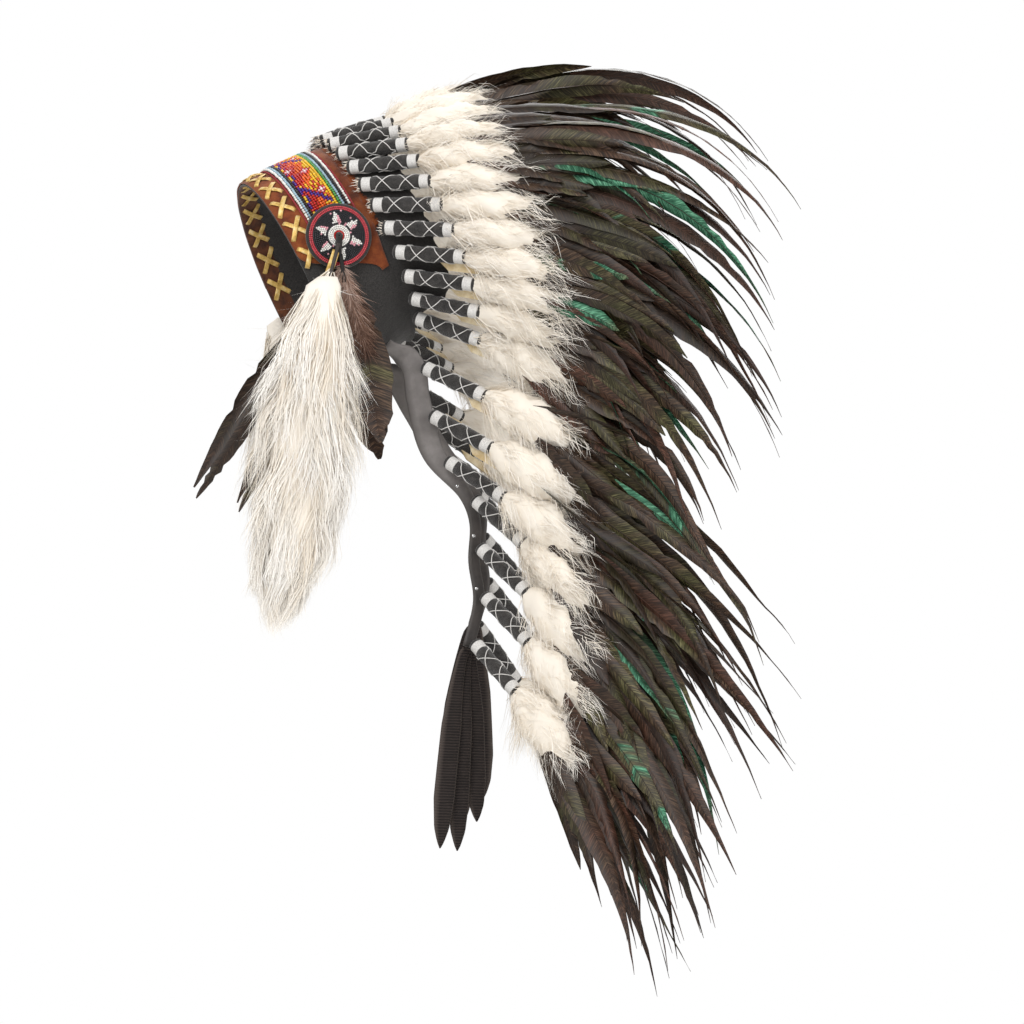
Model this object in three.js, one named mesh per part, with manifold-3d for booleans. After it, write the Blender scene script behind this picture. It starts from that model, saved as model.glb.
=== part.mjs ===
// A three-quarter-length feathered headdress, as it hangs when a head carries it. Millimetres, +Z up.
// The head seat, the middle of the rim that goes round the head, is the origin. +X runs back, to where
// the plumes sweep, and -Y is the wearer's left. The right half is the left half mirrored in Y = 0.
import * as THREE from 'three';
import * as BufferGeometryUtils from 'three/addons/utils/BufferGeometryUtils.js';
import Module from 'manifold-3d';

const wasm = await Module();
wasm.setup();

// ---- Driving dimensions ----
const gap = 0.3; // between pieces that meet
const ply = 0.6; // between pieces that lie on each other round the head
const headTilt = 26; // degrees from level to the line that runs from the neck to the crown
const rim = { length: 97, width: 77, shift: 0 }; // half axes of the rim, and its shift to the front
const crown = { height: 74, length: 87, width: 78, shift: 10 }; // the same where the quills are sewn on
const felt = { thick: 2, skirt: 46, rearSkirt: 4, skirtEnds: 118, skirtGone: 150, sideStep: 10 };
const suede = { thick: 1.5, top: 72, ends: 110, tapers: 80, point: 62, sinks: 3 };
const beadStrip = { low: 22, high: 62, thick: 1.6, ends: 70 };
const lacing = { pitch: 15, crosses: 12, low: 3, high: 18, width: 4.6, thick: 1, clear: 0.8 };
const rosette = {
  radius: 28, beaded: 25, thick: 2.4, dome: 1.8, around: 83, height: 38, stands: 8.4, turn: 6, sides: 20,
};
const knot = { radius: 4, top: 2.6, rise: 2 }; // the thong's knot at the middle of the rosette
const wrap = {
  radius: 6.2, cap: 4.2, rounding: 3, length: 66, seat: 75, rearLift: 3.6, liftFrom: 4, liftTo: 9,
};
const quills = { crown: 11, trailer: 7, spacing: 13 }; // on each side, and degrees between those on the crown
const trailer = {
  thick: 2.4, top: 10.5, bottom: 5, narrowFrom: 0.3, narrowTo: 0.62, sewnAt: 152, sewnUp: 46, stations: 12,
};
const twist = { from: 0.01, to: 0.09 }; // the stretch of the trailer in which it turns edge-on
const lappet = { thick: 2, width: 8.6, apart: 2, bow: 0.6 };
const fluff = { thick: 19, width: 19, ends: 152 };
const coque = { thick: 7, width: 25, starts: 168, gathers: 0.55 }; // gathers: share of its flare lost by the tip

const radians = THREE.MathUtils.degToRad;
const up = new THREE.Vector3(Math.cos(radians(headTilt)), 0, Math.sin(radians(headTilt)));
const forward = new THREE.Vector3(-up.z, 0, up.x);
const left = new THREE.Vector3(0, -1, 0);

// How the feathers stand, by their number from the centre front. lean: degrees from level, seen from the
// side. flare: degrees out from the middle. plume: length past the wrap. droop: degrees lost by the tip.
// late: how far along the plume the droop gathers, 1 for evenly.
const stance = [
  { quill: 0, lean: 19, flare: 0, plume: 356, droop: 74, late: 2.4 },
  { quill: 3, lean: 5, flare: 29, plume: 360, droop: 71, late: 1.9 },
  { quill: 6, lean: -3, flare: 28, plume: 350, droop: 70, late: 1.4 },
  { quill: 8, lean: -8, flare: 27, plume: 338, droop: 60, late: 1.3 },
  { quill: 9, lean: -11, flare: 27, plume: 300, droop: 64, late: 1.3 },
  { quill: 10, lean: -16, flare: 27, plume: 288, droop: 52, late: 1.3 },
  { quill: 11, lean: -24, flare: 27, plume: 266, droop: 46, late: 1.3 },
  { quill: 12, lean: -31, flare: 28, plume: 352, droop: 30, late: 1.3 },
  { quill: 14, lean: -38, flare: 28, plume: 356, droop: 20, late: 1.3 },
  { quill: 15, lean: -48, flare: 30, plume: 324, droop: 23, late: 1.3 },
  { quill: 18, lean: -57, flare: 31, plume: 304, droop: 19, late: 1.3 },
];

// The middle of the left trailer strap: how far behind the head seat, out to the side and below it.
const trailerLine = [
  { back: 98, out: 39, below: 66 },
  { back: 104, out: 38, below: 97 },
  { back: 117, out: 38, below: 143 },
  { back: 145, out: 39, below: 178 },
  { back: 153, out: 39, below: 202 },
  { back: 152, out: 39, below: 234 },
  { back: 156, out: 40, below: 268 },
  { back: 147, out: 40, below: 308 },
];

// How each side hangs: its trailer's shift back and share of the length, its feathers' share of the flare
// and degrees of lift, and its drop's shift back and share of the length. The wearer's right hangs further back
// and shorter.
const hangs = {
  left: { back: 0, length: 1, flare: 1, lift: 0, dropBack: 0, dropLength: 1 },
  right: { back: 20, length: 0.9, flare: 0.7, lift: 8, dropBack: 30, dropLength: 0.9 },
};

// Where the trailer quills' wraps begin, as shares of the strap's length, and how far back from its middle.
const trailerQuills = { first: 0.11, last: 0.99, rearward: 0.6 };

// The quills between which the feathers pass from the crown's stance to their side's hang.
const loosening = { from: 9, to: 13 };
const dropSwing = 90; // how far below the head seat a drop has swung back in full

// The three lappets on a trailer's end: where each tip hangs, and how far it stands out from the next.
const lappets = [
  { name: 'front', back: 121, out: 50, below: 481 },
  { name: 'middle', back: 137, out: 43, below: 482 },
  { name: 'rear', back: 155, out: 36, below: 456 },
];

// A side drop, from its thong at the rosette's middle down the fur: the middle of each section, its half
// width and its half depth.
const furDrop = [
  { back: 25, out: 95, below: -24, width: 2.2, depth: 1.2 },
  { back: 18, out: 101, below: 0, width: 2.4, depth: 1.6 },
  { back: 11, out: 104, below: 12, width: 15, depth: 7 },
  { back: 4, out: 107, below: 62, width: 35, depth: 15 },
  { back: -4, out: 108, below: 128, width: 44, depth: 19 },
  { back: -9, out: 106, below: 195, width: 41, depth: 17 },
  { back: -16, out: 105, below: 252, width: 28, depth: 12 },
  { back: -26, out: 104, below: 309, width: 3, depth: 2 },
];

// The fur's loose locks: where each leaves the drop, its half width there, and its tip.
const furLocks = [
  { back: -22, out: 106, below: 150, width: 15, tipBack: -47, tipBelow: 262 },
  { back: 14, out: 108, below: 140, width: 15, tipBack: 29, tipBelow: 246 },
  { back: 4, out: 110, below: 190, width: 13, tipBack: -6, tipBelow: 292 },
];

// The dark feathers beside the fur: where each leaves the thong, its belly and its tip. They fuse at the knot.
const sideFeathers = [
  { out: 86, back: 30, below: 3, bellyBack: 49, bellyBelow: 58, belly: 20, tipBack: 63, tipBelow: 143 },
  { out: 86, back: 26, below: 5, bellyBack: -42, bellyBelow: 92, belly: 8, tipBack: -96, tipBelow: 186 },
  { out: 86, back: 28, below: 7, bellyBack: -24, bellyBelow: 112, belly: 7, tipBack: -59, tipBelow: 198 },
];

// ---- Helpers ----
const { lerp, smoothstep } = THREE.MathUtils;

// One column of a table at any place between its rows.
function column(rows, key, place, name) {
  const next = Math.max(1, rows.findIndex((row) => row[key] >= place) === -1
    ? rows.length - 1 : rows.findIndex((row) => row[key] >= place));
  const a = rows[next - 1];
  const b = rows[next];
  return lerp(a[name], b[name], (place - a[key]) / (b[key] - a[key]));
}

// A closed solid through rings of points. A loop joins its last ring to its first; otherwise its ends are capped.
function loft(rings, loop = false) {
  const size = rings[0].length;
  const points = rings.flat().flatMap((p) => [p.x, p.y, p.z]);
  const faces = [];
  const bands = loop ? rings.length : rings.length - 1;
  for (let i = 0; i < bands; i++) {
    const next = (i + 1) % rings.length;
    for (let j = 0; j < size; j++) {
      const k = (j + 1) % size;
      const [a, b, c, d] = [i * size + j, i * size + k, next * size + k, next * size + j];
      faces.push(a, b, c, a, c, d);
    }
  }
  if (!loop) {
    const end = (rings.length - 1) * size;
    for (let j = 1; j < size - 1; j++) {
      faces.push(0, j + 1, j);
      faces.push(end, end + j, end + j + 1);
    }
  }
  const geometry = new THREE.BufferGeometry();
  geometry.setAttribute('position', new THREE.Float32BufferAttribute(points, 3));
  geometry.setIndex(faces);
  return volume(geometry) < 0 ? turned(geometry) : geometry;
}

function volume(geometry) {
  const at = geometry.getAttribute('position');
  const index = geometry.getIndex().array;
  const p = [0, 1, 2].map(() => new THREE.Vector3());
  let sum = 0;
  for (let i = 0; i < index.length; i += 3) {
    p.forEach((point, j) => point.fromBufferAttribute(at, index[i + j]));
    sum += p[0].dot(p[1].clone().cross(p[2])) / 6;
  }
  return sum;
}

// The same solid with its faces wound the other way.
function turned(geometry) {
  const index = Array.from(geometry.getIndex().array);
  for (let i = 0; i < index.length; i += 3) [index[i], index[i + 1]] = [index[i + 1], index[i]];
  geometry.setIndex(index);
  return geometry;
}

function mirrored(geometry) {
  return turned(geometry.clone().scale(1, -1, 1));
}

function solid(geometry) {
  const bare = geometry.clone();
  bare.deleteAttribute('normal');
  bare.deleteAttribute('uv');
  const merged = BufferGeometryUtils.mergeVertices(bare, 1e-5);
  return new wasm.Manifold(new wasm.Mesh({
    numProp: 3,
    vertProperties: new Float32Array(merged.getAttribute('position').array),
    triVerts: new Uint32Array(merged.getIndex().array),
  }));
}

function fused(geometries) {
  const whole = geometries.map(solid).reduce((sum, next) => sum.add(next));
  const mesh = whole.getMesh();
  const geometry = new THREE.BufferGeometry();
  geometry.setAttribute('position', new THREE.Float32BufferAttribute(mesh.vertProperties, 3));
  geometry.setIndex(Array.from(mesh.triVerts));
  return geometry;
}

// An ellipse of points round a middle, in the plane of two directions.
function ring(middle, across, deep, width, depth, sides, turn = 0) {
  return Array.from({ length: sides }, (_, i) => {
    const angle = ((i + turn) / sides) * 2 * Math.PI;
    return middle.clone()
      .addScaledVector(across, width * Math.cos(angle))
      .addScaledVector(deep, depth * Math.sin(angle));
  });
}

// ---- The band round the head ----
// A point on it: degrees round from the centre front, height up from the rim, and depth out from its lining.
function bandPoint(around, height, out) {
  const share = height / crown.height;
  const angle = radians(around);
  return new THREE.Vector3()
    .addScaledVector(up, height)
    .addScaledVector(forward, lerp(rim.shift, crown.shift, share)
      + (lerp(rim.length, crown.length, share) + out) * Math.cos(angle))
    .addScaledVector(left, (lerp(rim.width, crown.width, share) + out) * Math.sin(angle));
}

// A strip of the band between two heights, which may change round the head.
function bandStrip(from, to, step, low, high, inner, outer, loop = false) {
  const count = Math.round((to - from) / step);
  const rings = [];
  for (let i = 0; i < (loop ? count : count + 1); i++) {
    const around = from + i * step;
    rings.push([
      bandPoint(around, low(around), inner), bandPoint(around, low(around), outer),
      bandPoint(around, high(around), outer), bandPoint(around, high(around), inner),
    ]);
  }
  return loft(rings, loop);
}

// ---- The feathers ----
function trailerPoint(share, hang) {
  const at = trailerLine.map((row, i) => {
    const loose = Math.min(1, i / 2);
    return new THREE.Vector3(row.back + loose * hang.back, -row.out, -row.below * lerp(1, hang.length, loose));
  });
  at.unshift(bandPoint(trailer.sewnAt, trailer.sewnUp, felt.thick + trailer.thick / 2 + 5 * ply));
  return new THREE.CatmullRomCurve3(at, false, 'centripetal').getPointAt(share);
}

function trailerHalf(share) {
  return lerp(trailer.top, trailer.bottom, smoothstep(share, trailer.narrowFrom, trailer.narrowTo));
}

function direction(lean, flare) {
  return new THREE.Vector3(
    Math.cos(radians(lean)) * Math.cos(radians(flare)),
    -Math.sin(radians(flare)),
    Math.sin(radians(lean)) * Math.cos(radians(flare)),
  );
}

// Where a left feather's wrap begins. Past the last one on the crown, they are sewn on the trailer's outer
// face, towards its rear edge.
function seatOf(quill, hang) {
  const out = felt.thick + ply + wrap.radius + wrap.rearLift * smoothstep(quill, wrap.liftFrom, wrap.liftTo);
  if (quill <= quills.crown) return bandPoint(quill * quills.spacing, wrap.seat, out);
  const share = lerp(trailerQuills.first, trailerQuills.last, (quill - quills.crown - 1) / (quills.trailer - 1));
  const back = trailerQuills.rearward * trailerHalf(share);
  return trailerPoint(share, hang).add(new THREE.Vector3(back, -trailer.thick / 2 - wrap.radius - ply, 0));
}

// The middle of a left feather, a point at each distance from the start of its wrap.
function featherLine(quill, distances, hang) {
  const [lean, flare, plume, droop, late] = ['lean', 'flare', 'plume', 'droop', 'late']
    .map((name) => column(stance, 'quill', Math.abs(quill), name));
  const side = Math.sign(quill) || 1;
  const point = seatOf(Math.abs(quill), hang);
  const loose = smoothstep(Math.abs(quill), loosening.from, loosening.to);
  const spread = lerp(1, hang.flare, loose);
  const lift = loose * hang.lift;
  const points = [];
  const pace = 4;
  let gone = 0;
  for (const distance of distances) {
    while (gone < distance) {
      const length = Math.min(pace, distance - gone);
      const share = THREE.MathUtils.clamp((gone + length / 2 - wrap.length) / plume, 0, 1);
      const outward = spread * flare * (1 - coque.gathers * share);
      point.addScaledVector(direction(lean + lift - droop * share ** late, outward), length);
      gone += length;
    }
    points.push(new THREE.Vector3(point.x, point.y * side, point.z));
  }
  return points;
}

function plumeEnd(quill) {
  return wrap.length + column(stance, 'quill', Math.abs(quill), 'plume');
}

// Each section of a feather: its distance, share of the plume past the roots, widest half width and half depth.
function featherSections(quill) {
  const end = plumeEnd(quill);
  return [
    { at: 0, width: wrap.cap, depth: wrap.cap },
    { at: wrap.rounding, width: wrap.radius, depth: wrap.radius },
    { at: wrap.length - wrap.rounding, width: wrap.radius, depth: wrap.radius },
    { at: wrap.length, width: wrap.cap, depth: wrap.cap },
    { at: 88, width: fluff.width, depth: 0.8 * fluff.thick },
    { at: 122, width: fluff.width, depth: fluff.thick },
    { at: fluff.ends, width: 0.8 * fluff.width, depth: 0.55 * fluff.thick },
    { at: coque.starts, width: 0.8 * coque.width, depth: coque.thick },
    { at: lerp(coque.starts, end, 0.35), width: coque.width, depth: coque.thick },
    { at: lerp(coque.starts, end, 0.7), width: 0.8 * coque.width, depth: 0.8 * coque.thick },
    { at: end, width: 1.2, depth: 0.8 },
  ];
}

// The plume's side locks: how far it parts to the side and off the fan, where it ends and its half width.
const sideLocks = [
  { part: -0.5, off: 6, end: 0.8, width: 0.36 },
  { part: 0.5, off: -6, end: 0.88, width: 0.36 },
];

// A wrapped quill with its fluff and plume, no wider than its share of the fan.
function feather(quill, hang) {
  const sections = featherSections(quill);
  const last = quill === quills.crown + quills.trailer;
  const distances = sections.map((section) => section.at);
  const line = featherLine(quill, distances, hang);
  const before = featherLine(quill - 1, distances, hang);
  const after = last ? line : featherLine(quill + 1, distances, hang);
  const shell = 0.44; // of the distance to the next feather's middle
  const frames = line.map((point, i) => {
    const along = line[Math.min(i + 1, line.length - 1)].clone().sub(line[Math.max(i - 1, 0)]).normalize();
    const across = (last ? point.clone().sub(before[i]) : after[i].clone().sub(before[i]));
    across.addScaledVector(along, -across.dot(along)).normalize();
    const off = across.clone().cross(along).normalize();
    const near = before[i].clone().sub(point).projectOnVector(across).length();
    const far = last ? near : after[i].clone().sub(point).projectOnVector(across).length();
    return { point, across, off, room: shell * Math.min(near, far) };
  });
  const main = loft(sections.map((section, i) => ring(
    frames[i].point, frames[i].across, frames[i].off,
    Math.min(section.width, frames[i].room), section.depth, 6, 0.5,
  )));
  const locks = sideLocks.map((lock) => {
    const places = [6, 8, 9, 10];
    return loft(places.map((place, i) => {
      const share = i / (places.length - 1);
      const { point, across, off, room } = frames[place];
      const reach = Math.min(room, coque.width);
      const width = i === places.length - 1 ? 0.8 : lock.width * reach;
      const middle = (i === places.length - 1 ? point.clone().lerp(frames[9].point, 1 - lock.end) : point.clone())
        .addScaledVector(across, lock.part * reach * share ** 0.6)
        .addScaledVector(off, lock.off * share);
      return ring(middle, across, off, width, i === places.length - 1 ? 0.6 : 3, 4);
    }));
  });
  return fused([main, ...locks]);
}

// ---- Building the pieces ----
const headdress = new THREE.Group();

const finishes = {
  felt: { color: 0x2b2b2d, roughness: 0.95, metalness: 0 },
  suede: { color: 0x7d3b17, roughness: 0.9, metalness: 0 },
  beads: { color: 0xd9582b, roughness: 0.3, metalness: 0 },
  gold: { color: 0xd8b25a, roughness: 0.5, metalness: 0.2 },
  rosette: { color: 0x2a1a1c, roughness: 0.4, metalness: 0 },
  leather: { color: 0x4a4746, roughness: 0.6, metalness: 0 },
  fur: { color: 0xefe8dc, roughness: 0.9, metalness: 0 },
  plume: { color: 0x2c2620, roughness: 0.5, metalness: 0 },
};

function add(name, geometry, finish) {
  const mesh = new THREE.Mesh(geometry, new THREE.MeshStandardMaterial(finishes[finish]));
  mesh.name = name;
  headdress.add(mesh);
}

// A piece on each side. Its shape is made as the left one's, with that side's hang, and mirrored for the right.
function addPair(name, shape, finish) {
  add(`${name}_left`, shape(hangs.left), finish);
  add(`${name}_right`, mirrored(shape(hangs.right)), finish);
}

// The felt base: a full ring from the rim to the quills, whose skirt runs up inside the wraps.
function feltBase() {
  const rings = [];
  for (let around = -180; around < 180; around += felt.sideStep) {
    const place = Math.abs(around) / quills.spacing;
    const quill = Math.min(place, quills.crown);
    const share = 1 - smoothstep(Math.abs(around), felt.skirtEnds, felt.skirtGone);
    const rise = lerp(felt.rearSkirt, felt.skirt, share);
    const [lean, flare] = ['lean', 'flare'].map((name) => column(stance, 'quill', quill, name));
    const way = direction(lean, flare * share).multiplyScalar(rise);
    if (around < 0) way.y *= -1;
    rings.push([
      bandPoint(around, 0, 0), bandPoint(around, 0, felt.thick),
      bandPoint(around, wrap.seat, felt.thick), bandPoint(around, wrap.seat, felt.thick).add(way),
      bandPoint(around, wrap.seat, 0).add(way), bandPoint(around, wrap.seat, 0),
    ]);
  }
  return loft(rings, true);
}
add('crown_felt', feltBase(), 'felt');

// The suede facing lies on the felt's front and runs back to a point on each side.
const suedeIn = felt.thick + ply;
const suedeOut = suedeIn + suede.thick;
const taper = (around) => smoothstep(Math.abs(around), suede.tapers, suede.ends);
const suedeLow = (around) => lerp(0, suede.point, taper(around));
const suedeHigh = (around) => suede.top - suede.sinks * taper(around);
add('brow_suede', bandStrip(
  -suede.ends, suede.ends, felt.sideStep, suedeLow, suedeHigh, suedeIn, suedeOut,
), 'suede');

const beadIn = suedeOut + ply;
add('bead_strip', bandStrip(
  -beadStrip.ends, beadStrip.ends, felt.sideStep,
  () => beadStrip.low, () => beadStrip.high, beadIn, beadIn + beadStrip.thick,
), 'beads');

// Where the gilt lace goes: out and back along the rim, crossing itself outside and inside the band.
function lacePath() {
  const ends = (lacing.crosses * lacing.pitch) / 2;
  const layer = lacing.thick + gap;
  const outer = suedeOut + lacing.clear + lacing.thick / 2;
  const inner = -lacing.clear - lacing.thick / 2;
  const under = -lacing.thick - gap;
  const last = 2 * lacing.crosses;
  const run = (highFirst, out, way) => Array.from({ length: last + 1 }, (_, i) => {
    const corner = i / 2 + (highFirst ? 1 : 0);
    const height = i % 2 ? (lacing.low + lacing.high) / 2 : [lacing.high, lacing.low][corner % 2];
    return { around: way * (-ends + (i * lacing.pitch) / 2), height, out };
  });
  const turn = (around, depth, from, to) => [
    { around, height: depth, out: from }, { around, height: depth, out: to },
  ];
  return [
    ...run(false, outer, 1), ...turn(ends, under, outer, inner),
    ...run(false, inner, -1), ...turn(-ends, under, inner, outer + layer),
    ...run(true, outer + layer, 1), ...turn(ends, under - layer, outer + layer, inner - layer),
    ...run(true, inner - layer, -1),
  ].map(({ around, height, out }) => bandPoint(around, height, out));
}

// A flat lace along a path, its face turned no more than each bend asks.
function lace(path, width, thick) {
  const face = bandPoint(-90, 0, 1).sub(bandPoint(-90, 0, 0)).normalize();
  let before = path[1].clone().sub(path[0]).normalize();
  return loft(path.map((point, i) => {
    const coming = point.clone().sub(path[Math.max(i - 1, 0)]).normalize();
    const going = path[Math.min(i + 1, path.length - 1)].clone().sub(point).normalize();
    const along = coming.add(going).normalize();
    face.applyQuaternion(new THREE.Quaternion().setFromUnitVectors(before, along));
    before = along;
    const across = face.clone().cross(along).normalize();
    return ring(point, across, face, width / Math.SQRT2, thick / Math.SQRT2, 4, 0.5);
  }));
}
add('rim_lacing', lace(lacePath(), lacing.width, lacing.thick), 'gold');

// A beaded rosette on a felt disc at each temple.
function rosetteDisc() {
  const face = rosette.thick + rosette.dome;
  const profile = [
    [0, 0], [rosette.radius, 0], [rosette.radius, rosette.thick], [rosette.beaded, rosette.thick],
    [rosette.beaded - rosette.dome, face], [knot.radius, face], [knot.top, face + knot.rise], [0, face + knot.rise],
  ].map(([x, y]) => new THREE.Vector2(x, y));
  const around = rosette.around;
  const [before, after] = [-1, 1].map((step) => bandPoint(around + step, rosette.height, 0));
  const rise = bandPoint(around, rosette.height + 1, 0).sub(bandPoint(around, rosette.height, 0));
  const facing = rise.cross(after.sub(before)).normalize();
  if (facing.y > 0) facing.negate();
  facing.applyAxisAngle(up, radians(rosette.turn));
  const geometry = new THREE.LatheGeometry(profile, rosette.sides);
  geometry.deleteAttribute('normal');
  geometry.deleteAttribute('uv');
  const disc = BufferGeometryUtils.mergeVertices(geometry, 1e-4);
  disc.applyQuaternion(new THREE.Quaternion().setFromUnitVectors(new THREE.Vector3(0, 1, 0), facing));
  disc.translate(...bandPoint(around, rosette.height, rosette.stands).toArray());
  return fused([disc]);
}
addPair('rosette', rosetteDisc, 'rosette');

// The trailer straps are sewn flat on the felt behind, then twist edge-on to carry their quills.
function trailerStrap(hang) {
  const sewn = bandPoint(trailer.sewnAt + 1, trailer.sewnUp, 0)
    .sub(bandPoint(trailer.sewnAt - 1, trailer.sewnUp, 0)).normalize();
  return loft(Array.from({ length: trailer.stations + 1 }, (_, i) => {
    const share = i / trailer.stations;
    const [before, after] = [Math.max(share - 0.01, 0), Math.min(share + 0.01, 1)];
    const along = trailerPoint(after, hang).sub(trailerPoint(before, hang)).normalize();
    const across = sewn.clone().multiplyScalar(-1)
      .lerp(new THREE.Vector3(1, 0, 0), smoothstep(share, twist.from, twist.to));
    across.addScaledVector(along, -across.dot(along)).normalize();
    const deep = across.clone().cross(along);
    return [[-1, -1], [1, -1], [1, 1], [-1, 1]].map(([side, depth]) => trailerPoint(share, hang)
      .addScaledVector(across, side * trailerHalf(share))
      .addScaledVector(deep, (depth * trailer.thick) / 2));
  }));
}
addPair('trailer', trailerStrap, 'leather');

// A lappet's outline: its width as a share of the widest, by the share of its length.
const lappetShape = [
  { share: 0, width: 0.45 },
  { share: 0.1, width: 0.55 },
  { share: 0.38, width: 1 },
  { share: 0.75, width: 1.05 },
  { share: 0.9, width: 0.75 },
  { share: 1, width: 0.08 },
];

// Three pointed lappets hang from each trailer's end.
function lappetBlade(row, number, hang) {
  const end = trailerPoint(1, hang);
  const layer = (1 - number) * (lappet.thick + 2 * gap);
  const start = new THREE.Vector3(end.x + (number - 1) * lappet.apart, end.y - layer, end.z - trailer.thick - gap);
  const drop = row.below - trailerLine.at(-1).below;
  const tip = new THREE.Vector3(row.back + hang.back, -row.out, end.z - drop);
  return loft(lappetShape.map(({ share, width }) => {
    const middle = start.clone().lerp(tip, share);
    middle.x = lerp(start.x, tip.x, share ** lappet.bow);
    return [[-1, -1], [1, -1], [1, 1], [-1, 1]].map(([side, depth]) => middle.clone()
      .add(new THREE.Vector3(side * width * lappet.width, (depth * lappet.thick) / 2, 0)));
  }));
}
lappets.forEach((row, number) => {
  addPair(`lappet_${row.name}`, (hang) => lappetBlade(row, number, hang), 'leather');
});

// A white fur drop hangs by its thong from each rosette.
function dropPoint(back, out, below, hang) {
  const length = below > 0 ? hang.dropLength : 1;
  return new THREE.Vector3(back + hang.dropBack * smoothstep(below, 0, dropSwing), -out, -below * length);
}

function furTail(hang) {
  const [back, side] = [new THREE.Vector3(1, 0, 0), new THREE.Vector3(0, 1, 0)];
  const body = loft(furDrop.map((row) => ring(
    dropPoint(row.back, row.out, row.below, hang), back, side, row.width, row.depth, 8, 0.5,
  )));
  const locks = furLocks.map((row) => loft([0, 0.5, 1].map((share) => ring(
    dropPoint(lerp(row.back, row.tipBack, share), row.out, lerp(row.below, row.tipBelow, share), hang),
    back, side, lerp(row.width, 1.5, share ** 2), lerp(12, 1, share), 6,
  ))));
  return fused([body, ...locks]);
}
addPair('side_fur', furTail, 'fur');

// Dark feathers hang behind the fur, knotted together at the top.
function sideFeather(hang) {
  return fused(sideFeathers.map((row) => {
    const start = dropPoint(row.back, row.out, row.below, hang);
    const belly = dropPoint(row.bellyBack, row.out, row.bellyBelow, hang);
    const tip = dropPoint(row.tipBack, row.out, row.tipBelow, hang);
    const line = new THREE.CatmullRomCurve3([start, belly, tip]);
    return loft([0, 0.22, 0.5, 0.8, 1].map((share, i) => {
      const along = line.getTangentAt(share);
      const across = new THREE.Vector3(-along.z, 0, along.x).normalize();
      const width = [4, 0.6 * row.belly, row.belly, 0.6 * row.belly, 0.8][i];
      return ring(line.getPointAt(share), across, new THREE.Vector3(0, 1, 0), width, [3, 2.4, 2.4, 2, 0.6][i], 6);
    }));
  }));
}
addPair('side_feathers', sideFeather, 'plume');

// The feathers: one at the centre front, then pairs round the crown and down the trailers.
add('feather_centre', feather(0, hangs.left), 'plume');
for (let quill = 1; quill <= quills.crown + quills.trailer; quill++) {
  addPair(`feather_${String(quill).padStart(2, '0')}`, (hang) => feather(quill, hang), 'plume');
}

export default headdress;
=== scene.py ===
import math

import bpy
import numpy as np
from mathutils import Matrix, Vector


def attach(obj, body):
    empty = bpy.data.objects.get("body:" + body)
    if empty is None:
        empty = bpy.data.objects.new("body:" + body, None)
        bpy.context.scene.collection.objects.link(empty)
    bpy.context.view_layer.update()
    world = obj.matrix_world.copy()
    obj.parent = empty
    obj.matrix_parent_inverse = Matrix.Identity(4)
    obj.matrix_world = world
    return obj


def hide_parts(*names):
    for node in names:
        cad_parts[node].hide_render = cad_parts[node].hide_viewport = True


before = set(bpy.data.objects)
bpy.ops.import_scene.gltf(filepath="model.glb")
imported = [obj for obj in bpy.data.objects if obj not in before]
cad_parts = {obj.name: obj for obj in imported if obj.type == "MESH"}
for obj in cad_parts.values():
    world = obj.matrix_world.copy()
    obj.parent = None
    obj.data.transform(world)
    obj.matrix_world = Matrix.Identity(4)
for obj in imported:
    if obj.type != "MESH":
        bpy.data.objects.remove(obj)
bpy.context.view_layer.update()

# ---- Studio ----
# The headdress is looked at from its left, a little from the front and from below, in front of a
# white sweep with a pale floor far beneath it. Three broad lamps light it softly.
scene = bpy.context.scene
scene.view_settings.view_transform = "Standard"

AIM = Vector((0.191, -0.007, -0.186))
TO_CAMERA = Vector((-0.1885, -0.9695, -0.1564))
AWAY = 9
camera = bpy.data.objects.new("camera", bpy.data.cameras.new("camera"))
camera.data.lens = 372
camera.data.sensor_width = 36
camera.location = AIM + AWAY * TO_CAMERA
camera.rotation_euler = (-TO_CAMERA).to_track_quat("-Z", "Y").to_euler()
scene.collection.objects.link(camera)
scene.camera = camera

# The camera sees pure white, and the headdress is lit by a softer warm white.
world = bpy.data.worlds.new("white_sweep")
world.use_nodes = True
world_nodes, world_links = world.node_tree.nodes, world.node_tree.links
either = world_nodes.new("ShaderNodeMixShader")
for socket, (colour, strength) in enumerate((((1, 0.985, 0.97, 1), 0.6), ((1, 1, 1, 1), 1.0)), 1):
    light = world_nodes.new("ShaderNodeBackground")
    light.inputs["Color"].default_value = colour
    light.inputs["Strength"].default_value = strength
    world_links.new(light.outputs["Background"], either.inputs[socket])
seen = world_nodes.new("ShaderNodeLightPath")
world_links.new(seen.outputs["Is Camera Ray"], either.inputs["Fac"])
world_links.new(either.outputs["Shader"], world_nodes["World Output"].inputs["Surface"])
scene.world = world

LAMPS = (("key", (-1.3, -2.2, 1.5), 1.8, 56), ("fill", (1.9, -1.7, 0.1), 1.8, 24),
         ("back", (0.9, 1.3, 1.7), 1.6, 40))
for name, place, size, watts in LAMPS:
    lamp = bpy.data.objects.new(name, bpy.data.lights.new(name, "AREA"))
    lamp.data.size, lamp.data.energy = size, watts
    lamp.location = place
    lamp.rotation_euler = (AIM - lamp.location).to_track_quat("-Z", "Y").to_euler()
    scene.collection.objects.link(lamp)

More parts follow.
